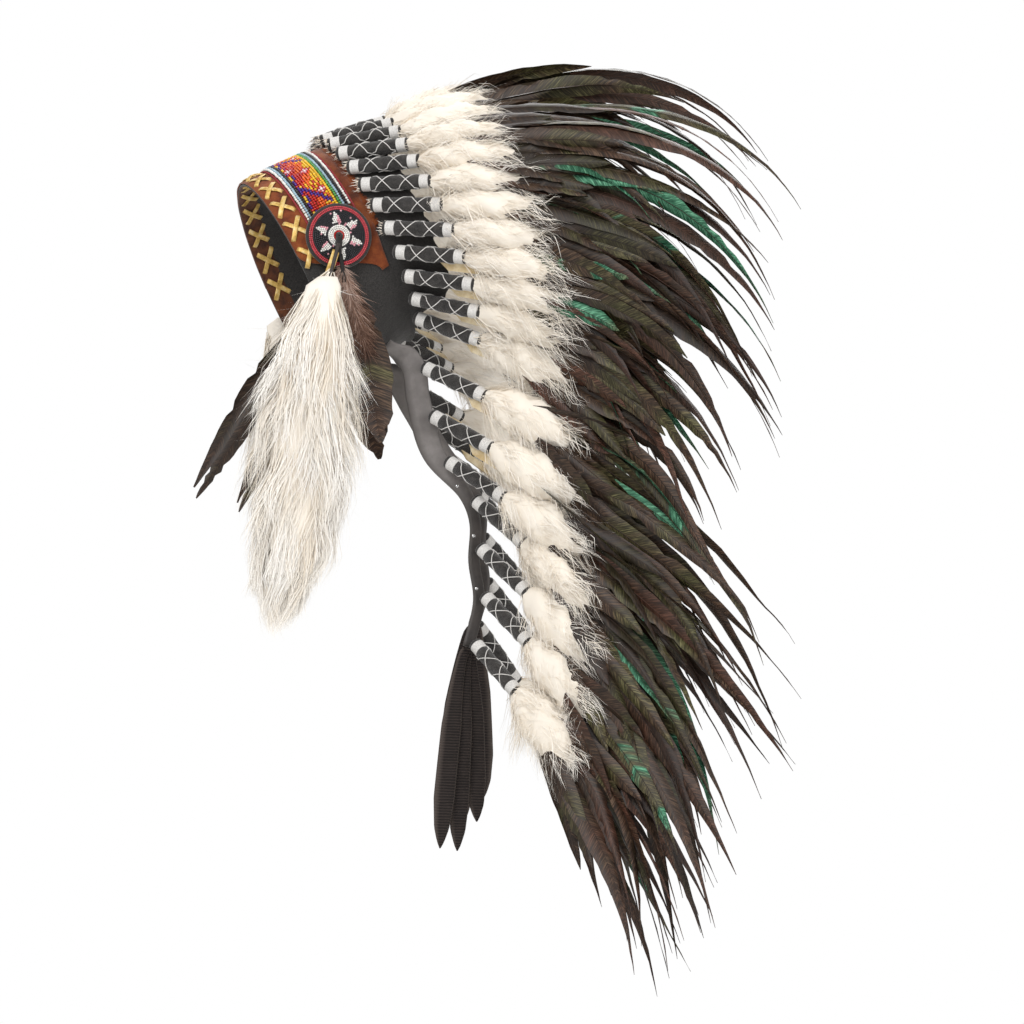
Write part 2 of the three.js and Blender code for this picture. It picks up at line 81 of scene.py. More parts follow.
FLOOR = {"half": 6.0, "level": -1.7}
floor_mesh = bpy.data.meshes.new("floor")
half, level = FLOOR["half"], FLOOR["level"]
corners = [(x * half, y * half, level) for x, y in ((-1, -1), (1, -1), (1, 1), (-1, 1))]
floor_mesh.from_pydata(corners, [], [(0, 1, 2, 3)])
floor = bpy.data.objects.new("floor", floor_mesh)
scene.collection.objects.link(floor)
pale = bpy.data.materials.new("pale_floor")
pale.use_nodes = True
pale_shader = pale.node_tree.nodes["Principled BSDF"]
pale_shader.inputs["Base Color"].default_value = (0.82, 0.82, 0.81, 1)
pale_shader.inputs["Roughness"].default_value = 0.8
floor_mesh.materials.append(pale)


# ---- Crown of felt ----
# A ring of black wool felt, 2 mm thick, is the base that everything is sewn to. It leans back from the
# brow, and above the quills' roots it runs on as a soft skirt behind the wraps. Inside the rim it is
# faced with a turned-over edge of brown suede.
def dye(code):
    """A colour written as on a dyer's card, or a level of grey, as the light it gives back."""
    if not isinstance(code, str):
        return (code, code, code, 1)
    parts = [int(code[i:i + 2], 16) / 255 for i in (0, 2, 4)]
    return tuple(p / 12.92 if p <= 0.04045 else ((p + 0.055) / 1.055) ** 2.4 for p in parts) + (1,)


class Value:
    """A number that changes over a surface. Sums on it add the nodes that work them out."""

    def __init__(self, finish, socket):
        self.finish, self.socket = finish, socket

    def maths(self, operation, other):
        return self.finish.node("ShaderNodeMath", {"operation": operation}, {0: self, 1: other})

    def __add__(self, other):
        return self.maths("ADD", other)

    def __mul__(self, other):
        return self.maths("MULTIPLY", other)


class Finish:
    """A material on the standard shader, with its constant values set straight on the shader."""

    def __init__(self, name, **constants):
        self.material = bpy.data.materials.new(name)
        self.material.use_nodes = True
        self.tree = self.material.node_tree
        self.shader = self.tree.nodes["Principled BSDF"]
        self.feed(**constants)

    def node(self, kind, settings, inputs, output=0):
        made = self.tree.nodes.new(kind)
        for name, value in settings.items():
            setattr(made, name, value)
        for name, value in inputs.items():
            self.put(made.inputs[name], value)
        return Value(self, made.outputs[output])

    def put(self, socket, value):
        if isinstance(value, Value):
            self.tree.links.new(value.socket, socket)
        else:
            socket.default_value = dye(value) if isinstance(value, str) else value

    def feed(self, **inputs):
        for name, value in inputs.items():
            self.put(self.shader.inputs[name.replace("_", " ")], value)

    def place(self):
        """Where the surface lies, in metres."""
        return self.node("ShaderNodeTexCoord", {}, {}, "Object")

    def noise(self, scale, detail=3, roughness=0.5, vector=None):
        return self.node("ShaderNodeTexNoise", {}, {
            "Scale": scale, "Detail": detail, "Roughness": roughness, "Vector": vector or self.place()})

    def ramp(self, value, *stops):
        made = self.node("ShaderNodeValToRGB", {}, {"Fac": value})
        ramp = made.socket.node.color_ramp.elements
        while len(ramp) < len(stops):
            ramp.new(0.5)
        for stop, (place, colour) in zip(ramp, stops):
            stop.position, stop.color = place, dye(colour)
        return made

    def blend(self, share, one, other):
        return self.node("ShaderNodeMix", {"data_type": "RGBA"}, {"Factor": share, 6: one, 7: other}, 2)

    def mark(self, name, output="Fac"):
        """A value stored on the mesh's points."""
        return self.node("ShaderNodeAttribute", {"attribute_name": name}, {}, output)

    def relief(self, height, strength, depth):
        return self.node("ShaderNodeBump", {}, {"Height": height, "Strength": strength, "Distance": depth})


def skin(rings, closed=False):
    """Faces over rings of points. The first and last ring are capped, unless the last joins the first."""
    count, size = rings.shape[:2]
    i, j = np.meshgrid(np.arange(count if closed else count - 1), np.arange(size), indexing="ij")
    k, nxt = (j + 1) % size, (i + 1) % count
    quads = np.stack([i * size + j, nxt * size + j, nxt * size + k, i * size + k], -1).reshape(-1, 4)
    ends = [np.arange(size)[None], (count * size - 1 - np.arange(size))[None]]
    return [quads] if closed else [quads] + ends


class Lot:
    """Meshes in millimetres, gathered into one piece of the headdress, with marks stored on their points."""

    def __init__(self):
        self.points, self.faces, self.marks, self.count = [], {}, {}, 0

    def add(self, points, faces=None, **marks):
        faces = skin(points) if faces is None else faces
        points = points.reshape(-1, 3)
        self.points.append(points)
        for part in faces:
            self.faces.setdefault(part.shape[1], []).append(part + self.count)
        for name, value in marks.items():
            value = np.asarray(value, float)
            if value.ndim == 0 or len(value) != len(points):
                value = np.broadcast_to(value, (len(points),) + value.shape)
            self.marks.setdefault(name, []).append(value)
        self.count += len(points)

    def make(self, name, finish, slot, stands_for=(), smooth=True):
        mesh = bpy.data.meshes.new(name)
        mesh.vertices.add(self.count)
        mesh.vertices.foreach_set("co", (np.concatenate(self.points) * 0.001).astype(np.float32).ravel())
        parts = [np.concatenate(alike) for alike in self.faces.values()]
        corners = np.concatenate([part.ravel() for part in parts])
        sizes = np.concatenate([np.full(len(part), part.shape[1]) for part in parts])
        mesh.loops.add(len(corners))
        mesh.loops.foreach_set("vertex_index", corners.astype(np.int32))
        mesh.polygons.add(len(sizes))
        mesh.polygons.foreach_set("loop_start", (np.cumsum(sizes) - sizes).astype(np.int32))
        mesh.polygons.foreach_set("use_smooth", np.full(len(sizes), smooth))
        mesh.update(calc_edges=True)
        mesh.validate()
        for mark, values in self.marks.items():
            values = np.concatenate(values)
            kind, key = ("FLOAT_COLOR", "color") if values.ndim == 2 else ("FLOAT", "value")
            mesh.attributes.new(mark, kind, "POINT").data.foreach_set(key, values.astype(np.float32).ravel())
        mesh.materials.append(finish.material)
        made = bpy.data.objects.new(name, mesh)
        scene.collection.objects.link(made)
        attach(made, "root")
        if stands_for:
            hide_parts(*stands_for)


def piece(name, finish, slot, stands_for, points, faces=None, **marks):
    """A piece of the headdress that is one mesh."""
    lot = Lot()
    lot.add(points, faces, **marks)
    lot.make(name, finish, slot, stands_for)


def smoothstep(value, low, high):
    share = np.clip((np.asarray(value, float) - low) / (high - low), 0, 1)
    return share * share * (3 - 2 * share)


def unit(vectors):
    return vectors / np.maximum(np.linalg.norm(vectors, axis=-1, keepdims=True), 1e-9)


HEAD_TILT = math.radians(26)
UP = np.array([math.cos(HEAD_TILT), 0, math.sin(HEAD_TILT)])
FORWARD = np.array([-UP[2], 0, UP[0]])
LEFT = np.array([0, -1.0, 0])
RIM = {"length": 97, "width": 77, "shift": 0}
CROWN = {"height": 74, "length": 87, "width": 78, "shift": 10}
FELT = {"thick": 2, "skirt": 46, "rear_skirt": 4, "skirt_ends": 118, "skirt_gone": 150}
WRAP = {"radius": 6.2, "length": 66, "seat": 75, "rear_lift": 3.6}
QUILLS = {"crown": 11, "trailer": 7, "spacing": 13}

# How the feathers stand: by number, their lean from level, flare from the middle, plume's length, droop and
# how late along it the droop comes.
STANCE = np.array([
    (0, 19, 0, 356, 74, 2.4), (3, 5, 29, 360, 71, 1.9), (6, -3, 28, 350, 70, 1.4), (8, -8, 27, 338, 60, 1.3),
    (9, -11, 27, 300, 64, 1.3), (10, -16, 27, 288, 52, 1.3), (11, -24, 27, 266, 46, 1.3),
    (12, -31, 28, 352, 30, 1.3), (14, -38, 28, 356, 20, 1.3), (15, -48, 30, 324, 23, 1.3),
    (18, -57, 31, 304, 19, 1.3),
])


def stance(quill):
    """A feather's lean, flare, length, droop and lateness, between the rows of the table."""
    return [np.interp(quill, STANCE[:, 0], STANCE[:, i]) for i in range(1, 6)]


def direction(lean, flare):
    """The way a left feather points, from its lean and flare in degrees."""
    lean, flare = np.radians(lean), np.radians(flare)
    return np.stack([np.cos(lean) * np.cos(flare), -np.sin(flare), np.sin(lean) * np.cos(flare)], -1)


def band_point(around, height, out):
    """A point on the band, by degrees round from the front, height from the rim and depth from the lining."""
    around, height, out = np.broadcast_arrays(*(np.asarray(v, float) for v in (around, height, out)))
    share, angle = height / CROWN["height"], np.radians(around)
    shift = RIM["shift"] + (CROWN["shift"] - RIM["shift"]) * share
    length = RIM["length"] + (CROWN["length"] - RIM["length"]) * share + out
    width = RIM["width"] + (CROWN["width"] - RIM["width"]) * share + out
    return (height[..., None] * UP + (shift + length * np.cos(angle))[..., None] * FORWARD
            + (width * np.sin(angle))[..., None] * LEFT)


FELT_HEIGHTS = np.array([0.4, 15, 30, 45, 60, 75])
TURNED_IN = {"height": 30, "ends": 112}  # the suede that is turned over the rim, up the felt's inside


def felt_ring(around):
    """The felt's section at one place: up its outside, over the skirt's edge and down its inside."""
    quill = min(abs(around) / QUILLS["spacing"], QUILLS["crown"])
    share = 1 - smoothstep(abs(around), FELT["skirt_ends"], FELT["skirt_gone"])
    ragged = 1 + 0.03 * math.sin(around * 0.9) + 0.02 * math.sin(around * 2.3 + 1)
    rise = (FELT["rear_skirt"] + (FELT["skirt"] - FELT["rear_skirt"]) * share) * ragged
    lean, flare = stance(quill)[:2]
    way = direction(lean, flare * share) * [1, -1 if around < 0 else 1, 1]
    outer = [band_point(around, height, FELT["thick"]) for height in FELT_HEIGHTS]
    outer += [outer[-1] + way * rise * part for part in (0.33, 0.66, 0.97)]
    inner = [band_point(around, FELT_HEIGHTS[-1], 0) + way * rise * part for part in (0.97, 0.66, 0.33)]
    edge = (outer[-1] + inner[0]) / 2 + way * 0.9
    inner += [band_point(around, height, 0) for height in FELT_HEIGHTS[::-1]]
    return [band_point(around, -0.3, FELT["thick"] / 2)] + outer + [edge] + inner


felt = Finish("black_wool_felt", Roughness=0.95, Sheen_Weight=0.25, Sheen_Roughness=0.5)
fibres = felt.noise(900, 5, 0.7)
pills = felt.noise(120, 4, 0.6)
felt.feed(
    Base_Color=felt.blend(
        felt.ramp(felt.mark("turned_in"), (0.42, 0), (0.46, 1)),
        felt.ramp(fibres, (0.3, "141313"), (0.7, "3f3c3a")),
        felt.ramp(pills, (0.3, "34180b"), (0.7, "6b3a1c"))),
    Normal=felt.relief(fibres * 0.6 + pills, 0.7, 0.0012),
)
felt_round = np.arange(-180, 180, 2.5)
rings = np.array([felt_ring(around) for around in felt_round])
turned_in = np.zeros(rings.shape[:2])
turned_in[:, -len(FELT_HEIGHTS):] = np.clip(1 - FELT_HEIGHTS[::-1] / TURNED_IN["height"], 0, 1)
turned_in *= (np.abs(felt_round) < TURNED_IN["ends"])[:, None]
piece("crown_felt_skin", felt, "black_felt", ["crown_felt"], rings, skin(rings, True),
      turned_in=turned_in.ravel())


# ---- Suede facing ----
# Rust-dyed suede, 1.5 mm thick, glued round the front and sewn under at the rim. It ends in a point behind
# each temple, and a dark red cord is couched along both sides of the beadwork.
PLY = 0.6
SUEDE = {"thick": 1.5, "top": 72, "ends": 110, "tapers": 80, "point": 62, "sinks": 3}
SUEDE_IN = FELT["thick"] + PLY
SUEDE_OUT = SUEDE_IN + SUEDE["thick"]
suede_rings = []
for around in np.arange(-SUEDE["ends"], SUEDE["ends"] + 0.1, 2):
    taper = smoothstep(abs(around), SUEDE["tapers"], SUEDE["ends"])
    heights = np.linspace(SUEDE["point"] * taper, SUEDE["top"] - SUEDE["sinks"] * taper, 9)
    sag = 0.25 * np.sin(around * 0.35 + heights * 0.2) * (np.abs(heights - 42) > 22)
    outer = band_point(around, heights, SUEDE_OUT - 0.3 + sag)
    suede_rings.append(np.concatenate([outer, band_point(around, heights[::-1], SUEDE_IN)]))

suede = Finish("rust_suede", Roughness=0.95, Sheen_Weight=0.35, Sheen_Roughness=0.4)
nap = suede.noise(45, 5, 0.65)
grain = suede.noise(700, 3, 0.6)
brushed = suede.ramp(nap, (0.32, "43190a"), (0.47, "7f3b16"), (0.68, "a35a28"))
suede.feed(
    Base_Color=suede.blend(grain * 0.5, brushed, "5a2a12"),
    Normal=suede.relief(grain + nap * 0.6, 0.5, 0.0008),
)
piece("suede_facing", suede, "rust_suede", ["brow_suede"], np.array(suede_rings))


def turns(number):
    """Evenly spaced angles round a circle."""
    return np.arange(number) * 2 * math.pi / number


def tube(path, radius, sides=6):
    """Rings of points round a path; the radius may be one number or one for each point."""
    along = unit(np.gradient(path, axis=0))
    side = unit(np.cross(along[0], [0.31, 0.52, 0.79]))
    angles = turns(sides)[:, None]
    rings = []
    for point, way, reach in zip(path, along, np.broadcast_to(radius, len(path))):
        side = unit(side - way * side.dot(way))
        rings.append(point + reach * (np.cos(angles) * side + np.sin(angles) * np.cross(way, side)))
    return np.array(rings)


def ribbons(paths, half, sides):
    """Flat tapering strands along paths: points, and faces that end in a tip."""
    number, stations = paths.shape[:2]
    taper = np.linspace(1, 0.45, stations - 1)[None, :, None]
    reach = np.asarray(half)[:, None, None] * taper * sides[:, None, :]
    body = np.stack([paths[:, :-1] - reach, paths[:, :-1] + reach], 2).reshape(number, -1, 3)
    points = np.concatenate([body, paths[:, -1:]], 1)
    each = points.shape[1]
    base = (np.arange(number) * each)[:, None]
    quads = [base + [2 * j, 2 * j + 2, 2 * j + 3, 2 * j + 1] for j in range(stations - 2)]
    tips = base + [each - 3, each - 1, each - 2]
    along = np.concatenate([np.repeat(np.linspace(0, 1, stations)[:-1], 2), [1.0]])
    return points.reshape(-1, 3), [np.concatenate(quads), tips], np.tile(along, number)


def draw(low, high, size=None):
    """Even random numbers, from the seeded generator of the piece at hand."""
    return random.uniform(low, high, size)


def stray(spread, size=None):
    """Random numbers round nought, mostly within the spread."""
    return random.normal(0, spread, size)


def laid_flat(paths, outward, loose=0.4):
    """The way across each strand, whose flat side faces roughly outward."""
    along = unit(paths[:, -1] - paths[:, 0])
    return unit(np.cross(along, unit(outward) + loose * stray(1, along.shape)))


# The suede's upper edge is torn into a short fringe that lies on the felt below the wraps.
FRINGE = {"strands": 1500, "ends": 88, "starts": 71}
random = np.random.default_rng(7)
around = draw(-FRINGE["ends"], FRINGE["ends"], FRINGE["strands"])
long = draw(3, 8.5, FRINGE["strands"]) * (0.8 + 0.3 * np.sin(around * 0.8))
leans = stray(1.6, FRINGE["strands"])
shares = np.linspace(0, 1, 4)[None]
fringe = band_point(around[:, None] + leans[:, None] * shares, FRINGE["starts"] + long[:, None] * shares,
                    SUEDE_OUT - 0.2 - 1.2 * shares)
halves = draw(0.4, 0.9, FRINGE["strands"])
outward = fringe[:, 0] - band_point(around, FRINGE["starts"], -20)
points, faces, _ = ribbons(fringe, halves, laid_flat(fringe, outward, 0.2))
piece("suede_fringe", suede, "rust_suede", (), points, faces)

BEADWORK = {"low": 22, "high": 62, "ends": 70}
piping = Lot()
for height in (BEADWORK["low"] - 1.2, BEADWORK["high"] + 1.2):
    around = np.linspace(-BEADWORK["ends"] - 4, BEADWORK["ends"] + 4, 110)
    piping.add(tube(band_point(around, height, SUEDE_OUT + 0.5), 0.8))
red_cord = Finish("dark_red_cord", Roughness=0.7)
twist = red_cord.node("ShaderNodeTexWave", {"bands_direction": "DIAGONAL"}, {
    "Scale": 500, "Distortion": 1, "Vector": red_cord.place()})
red_cord.feed(
    Base_Color=red_cord.ramp(twist, (0.2, "6e1a1e"), (0.8, "b43c44")),
    Normal=red_cord.relief(twist, 0.5, 0.0004),
)
piping.make("bead_strip_piping", red_cord, "beadwork")

# ---- Beadwork strip ----
# Glass seed beads, 2.3 mm each, woven on a loom in 17 rows and sewn over the suede. White, blue, dark and
# green rows border a field of red, orange and yellow, crossed by stepped purple diagonals and small crosses.
# White, blue, dark, green, yellow, orange, red, purple, pink and cord-red glass.
GLASS = {
    "w": "f1efea", "b": "9fbccb", "k": "1a1920", "g": "4d9a4a", "y": "f0c02a", "o": "e8641c", "r": "c4231d",
    "p": "4a1f86", "m": "eaa9b4", "c": "c0404a",
}
BORDER_LOW, BORDER_HIGH = "wbk", "ygbkw"
FIELD = {"rows": 9, "repeat": 26, "crosses": ((19, 6), (15, 1), (5, 7))}


def field_letter(row, column):
    """The colour of a bead in the field, which repeats along the strip."""
    place = column % FIELD["repeat"]
    for middle, level in FIELD["crosses"]:
        away = abs(place - middle) + abs(row - level)
        if away < 2:
            return "wm"[away]
        if away == 2:
            return "r"
    diagonal = place * 0.75
    if abs(row - diagonal) < 0.8:
        return "p"
    if row > diagonal:
        return "oyry"[(row + place // 2) % 4]
    level = row + (place - 12) % 7 // 3
    return "pprrroooyyy"[level] if level > 0 else "y"


def turned(profile, sides):
    """Rings of points round an upright axis, from a profile of radii and heights."""
    return np.array([[(r * math.cos(a), r * math.sin(a), z) for a in turns(sides)] for r, z in profile])


BEAD = {"half": 1.025, "radius": 1.2, "hole": 0.66, "sides": 6}
BEAD_PROFILE = ((BEAD["hole"], -BEAD["half"]), (BEAD["radius"], -0.45 * BEAD["half"]),
                (BEAD["radius"], 0.45 * BEAD["half"]), (BEAD["hole"], BEAD["half"]))
BEAD_RINGS = turned(BEAD_PROFILE, BEAD["sides"])[..., [2, 0, 1]]
BEAD_FACES = skin(BEAD_RINGS)


def add_bead(lot, centre, hole, out, letter, size=1.0):
    """A seed bead, a short barrel whose hole runs along the thread, with its own small faults."""
    hole = unit(hole)
    out = unit(out - hole * np.dot(out, hole))
    wobble = 1 + draw(-0.06, 0.06, 3)
    tone = draw(0.82, 1.12)
    shade = np.clip(np.array(dye(GLASS[letter])) * [tone, tone, tone, 1], 0, 1)
    points = (BEAD_RINGS * wobble * size).reshape(-1, 3) @ np.array([hole, np.cross(out, hole), out])
    lot.add(centre + points, BEAD_FACES, tint=shade)


COLUMNS = 94
random = np.random.default_rng(11)
beads = Lot()
rows = BORDER_LOW + "." * FIELD["rows"] + BORDER_HIGH
around = np.linspace(-BEADWORK["ends"], BEADWORK["ends"], COLUMNS)
for row, border in enumerate(rows):
    height = BEADWORK["low"] + (row + 0.5) * (BEADWORK["high"] - BEADWORK["low"]) / len(rows)
    centres = band_point(around, height, SUEDE_OUT + PLY + 0.8)
    outward = band_point(around, height, SUEDE_OUT + 5) - centres
    for column in range(COLUMNS):
        letter = field_letter(row - len(BORDER_LOW), column) if border == "." else border
        add_bead(beads, centres[column] + stray(0.1, 3), UP, outward[column], letter)

glass = Finish("glass_seed_beads", Roughness=0.18, Coat_Weight=0.4, Coat_Roughness=0.1)
glass.feed(Base_Color=glass.mark("tint", "Color"))
beads.make("bead_strip_beads", glass, "beadwork", ["bead_strip"])

# ---- Gilt lace ----
# Flat laces of gold-foiled leather, just over 4 mm wide, cross in a row of Xs on the rim, outside and inside.
# Each lace goes through a hole in the felt at the corner of its X.
LACING = {"pitch": 15, "crosses": 12, "low": 3, "high": 18, "width": 4.2, "thick": 1, "half": 5.6}


def strap(path, face, width, thick):
    """Rings of a flat strap with rounded edges along a path; face points out of its flat side."""
    along = unit(np.gradient(path, axis=0))
    across = unit(np.cross(face, along))
    deep = np.cross(along, across)
    half = ((-1, 0), (-0.86, 0.42), (-0.4, 0.5), (0.4, 0.5), (0.86, 0.42))
    section = half + tuple((-side, -up) for side, up in half)
    widths = np.broadcast_to(width, len(path))[:, None]
    return np.stack([path + across * (side * widths / 2) + deep * (up * thick) for side, up in section], 1)


lace = Lot()
middle_height, rise = (LACING["high"] + LACING["low"]) / 2, (LACING["high"] - LACING["low"]) / 2
share = np.linspace(-1, 1, 11)
for cross in range(LACING["crosses"]):
    middle = (cross - (LACING["crosses"] - 1) / 2) * LACING["pitch"]
    for side, base in ((1, SUEDE_OUT + 0.5), (-1, -0.5)):
        for arm, slope in enumerate((1, -1)):
            lift = 0.35 + arm * np.exp(-(share / 0.45) ** 2) - 1.6 * np.abs(share) ** 8
            around = middle + LACING["half"] * share * (1 + 0.04 * math.sin(cross * 2.1 + arm))
            height = middle_height + slope * rise * share + 0.3 * math.sin(cross + arm)
            path = band_point(around, height, base + side * lift)
            face = band_point(around, height, base + side * 5) - band_point(around, height, base)
            lace.add(strap(path, face, LACING["width"], LACING["thick"]), lot=draw(0, 1))

gilt = Finish("gilt_leather", Metallic=0.35)
worn = gilt.noise(160, 5, 0.65)
creases = gilt.noise(900, 2, 0.5)
gilt.feed(
    Base_Color=gilt.blend(
        gilt.mark("black"),
        gilt.ramp(worn, (0.3, "a07c38"), (0.5, "d9b566"), (0.75, "f3e2b4")),
        "1b1816"),
    Roughness=worn * 0.4 + 0.3,
    Normal=gilt.relief(creases + worn, 0.4, 0.0005),
)
lace.make("rim_lace_crosses", gilt, "gilt_lace", ["rim_lacing"])

# ---- Rosettes ----
# At each temple a disc of black felt carries rings of seed beads: a red ring, a black field with six pale
# points, then black, white and red rings. A black thong is knotted through the middle.
ROSETTE = {"beaded": 25, "around": 83, "height": 38, "stands": 8.4, "turn": 6}


def rosette_axes():
    """The left rosette's middle and its axes: two in its face and one out of it."""
    around, height = ROSETTE["around"], ROSETTE["height"]
    run = band_point(around + 1, height, 0) - band_point(around - 1, height, 0)
    rise = band_point(around, height + 1, 0) - band_point(around, height, 0)
    facing = unit(np.cross(rise, run))
    facing = facing if facing[1] < 0 else -facing
    turn = math.radians(ROSETTE["turn"])
    facing = (facing * math.cos(turn) + np.cross(UP, facing) * math.sin(turn)
              + UP * UP.dot(facing) * (1 - math.cos(turn)))
    level = unit(np.cross(UP, facing))
    return band_point(around, height, ROSETTE["stands"]), np.array([level, np.cross(facing, level), facing])


def rosette_letter(radius, angle):
    """The colour of a rosette's bead."""
    if radius > 23.2:
        return "c"
    if radius < 5.4:
        return "r"
    if radius < 9.4:
        return "w"
    off = (math.degrees(angle) + 45) % 60 - 30  # degrees from the nearest ray's middle
    # Each point is white on one side and pink on the other; the pink side is a painted shade that makes the
    # point look faceted.
    if radius > 11 and abs(off) < 19 * (21.4 - radius) / 10:
        return "w" if off > -4 else "m"
    # A few beads of the black field are pink: painted highlights on the black glass.
    return "m" if draw(0, 1) < 0.04 else "k"


ROSETTE_AT, ROSETTE_AXES = rosette_axes()
ROSETTE_BEAD = {"pitch": 1.62, "first": 3.8, "size": 0.72}
DISC = ((26, 0), (27.6, 0.5), (28.2, 1.2), (27.6, 2.1), (25.4, 2.5), (0.5, 3.1))
# Each thong end: where it starts and stops down the face, its sway, its width, and whether it is black.
THONG_ENDS = ((0, 17, -3, 6, 1), (13, 33, -8, 6.4, 0), (16, 40, 3, 3.4, 1))
down_face = unit(np.append((ROSETTE_AXES @ [0, 0, -1.0])[:2], 0))
side_face = np.array([-down_face[1], down_face[0], 0])
for side, mirror in (("left", 1), ("right", -1)):
    def set_in(points):
        """From the rosette's own axes to the headdress, on this side."""
        return (ROSETTE_AT + points @ ROSETTE_AXES) * [1, mirror, 1]

    piece(f"rosette_disc_{side}", felt, "black_felt", [f"rosette_{side}"], set_in(turned(DISC, 56)))
    rosette_beads = Lot()
    for radius in np.arange(ROSETTE_BEAD["first"], ROSETTE["beaded"], ROSETTE_BEAD["pitch"]):
        number = round(2 * math.pi * radius / ROSETTE_BEAD["pitch"])
        lift = 3.2 + 1.1 * (1 - (radius / ROSETTE["beaded"]) ** 2)
        for i in range(number):
            angle = 2 * math.pi * (i + 0.5 * (round(radius) % 2)) / number
            at = np.array([radius * math.cos(angle), radius * math.sin(angle), lift])
            centre = set_in(at)
            hole = set_in(at + [-math.sin(angle), math.cos(angle), 0]) - centre
            out = set_in(at + [0, 0, 1]) - centre
            add_bead(rosette_beads, centre, hole, out, rosette_letter(radius, angle), ROSETTE_BEAD["size"])
    rosette_beads.make(f"rosette_beads_{side}", glass, "beadwork")
    wound = np.linspace(0, 6, 20)
    knot = np.stack([1.8 * np.cos(wound), 1.8 * np.sin(wound), 5.2 + 0.5 * np.sin(2 * wound)], 1)
    piece(f"rosette_knot_{side}", felt, "dark_leather", (), tube(set_in(knot), 1.3))
    ends = Lot()
    for start, end, sway, width, black in THONG_ENDS:
        share = np.linspace(0, 1, 12)[:, None]
        line = (down_face * (start + (end - start) * share) + side_face * sway * (start + end * share) / 40
                + np.array([0, 0, 1]) * (5.8 + 1.2 * np.sin(3 * share) - 0.6 * black))
        ends.add(set_in(strap(line, np.tile([0.1, 0, 1.0], (12, 1)), width, 0.9)), black=black)
    ends.make(f"rosette_thong_{side}", gilt, "gilt_lace")

# ---- Wrapped quills ----
# Each feather's quill is rolled in charcoal felt, 66 mm long and 12 mm thick, and sewn upright on the band
# or along a trailer. White thread whips both ends and crosses the roll in two Xs on each face.
TRAILER = {"thick": 2.4, "top": 10.5, "bottom": 5, "narrow_from": 0.3, "narrow_to": 0.62, "sewn_at": 152,
           "sewn_up": 46, "first": 0.11, "last": 0.99, "rearward": 0.6}
# The middle of the left trailer: how far behind the head seat, out to the side and below it.
TRAILER_LINE = np.array([(98, 39, 66), (104, 38, 97), (117, 38, 143), (145, 39, 178), (153, 39, 202),
                         (152, 39, 234), (156, 40, 268), (147, 40, 308)], float)
# How each side hangs: the trailer's shift back and share of the length, the feathers' share of the flare and
# lift, and the drop's shift back and share of the length. The sign mirrors the left side.
HANGS = {
    side: dict(zip(("back", "length", "flare", "lift", "drop_back", "drop_length", "sign"), row))
    for side, row in (("left", (0, 1, 1, 0, 0, 1, 1)), ("right", (20, 0.9, 0.7, 8, 30, 0.9, -1)))
}


def smooth_curve(points, samples=40):
    """A centripetal curve through points, as evenly spaced samples of it and the length to each."""
    points = np.vstack([2 * points[0] - points[1], points, 2 * points[-1] - points[-2]])
    t = np.linspace(0, 1, samples, endpoint=False)[:, None]
    run = []
    for p0, p1, p2, p3 in zip(points, points[1:], points[2:], points[3:]):
        d0, d1, d2 = (math.sqrt(np.linalg.norm(b - a)) for a, b in ((p0, p1), (p1, p2), (p2, p3)))
        m1 = ((p1 - p0) / d0 - (p2 - p0) / (d0 + d1) + (p2 - p1) / d1) * d1
        m2 = ((p2 - p1) / d1 - (p3 - p1) / (d1 + d2) + (p3 - p2) / d2) * d1
        run.append(p1 + m1 * t + (3 * (p2 - p1) - 2 * m1 - m2) * t ** 2 + (2 * (p1 - p2) + m1 + m2) * t ** 3)
    run = np.vstack(run + [points[-2:-1]])
    return run, np.concatenate([[0], np.cumsum(np.linalg.norm(np.diff(run, axis=0), axis=1))])


def follow(curve, shares):
    """Points at shares of a sampled curve's length."""
    run, gone = curve
    wanted = np.clip(np.asarray(shares, float), 0, 1) * gone[-1]
    return np.stack([np.interp(wanted, gone, run[:, i]) for i in range(3)], -1)


def trailer_curve(hang):
    loose = np.minimum(1, np.arange(len(TRAILER_LINE)) / 2)
    line = np.stack([TRAILER_LINE[:, 0] + loose * hang["back"], -TRAILER_LINE[:, 1],
                     -TRAILER_LINE[:, 2] * (1 + (hang["length"] - 1) * loose)], -1)
    start = band_point(TRAILER["sewn_at"], TRAILER["sewn_up"], FELT["thick"] + TRAILER["thick"] / 2 + 5 * PLY)
    return smooth_curve(np.vstack([start[None], line]))


CURVES = {side: trailer_curve(hang) for side, hang in HANGS.items()}
STEP, REACH = 4.0, 440  # between the points of a feather's middle, and how far they go
LOOSENING = (9, 13)  # the quills between which the feathers pass from the crown's stance to their side's hang
GATHERS = 0.55  # the share of its flare that a plume loses by its tip
ROOM = 0.44  # half of a feather's room, as a share of the distance to the next


def trailer_half(share):
    return TRAILER["top"] + (TRAILER["bottom"] - TRAILER["top"]) * smoothstep(
        share, TRAILER["narrow_from"], TRAILER["narrow_to"])


def seat_of(quill, side):
    """Where a left feather's wrap begins: round the crown, then on the trailer's outer face."""
    out = FELT["thick"] + PLY + WRAP["radius"] + WRAP["rear_lift"] * smoothstep(quill, 4, 9)
    if quill <= QUILLS["crown"]:
        return band_point(quill * QUILLS["spacing"], WRAP["seat"], out)
    step = (quill - QUILLS["crown"] - 1) / (QUILLS["trailer"] - 1)
    share = TRAILER["first"] + (TRAILER["last"] - TRAILER["first"]) * step
    return follow(CURVES[side], [share])[0] + [
        TRAILER["rearward"] * trailer_half(share), -TRAILER["thick"] / 2 - WRAP["radius"] - PLY, 0]


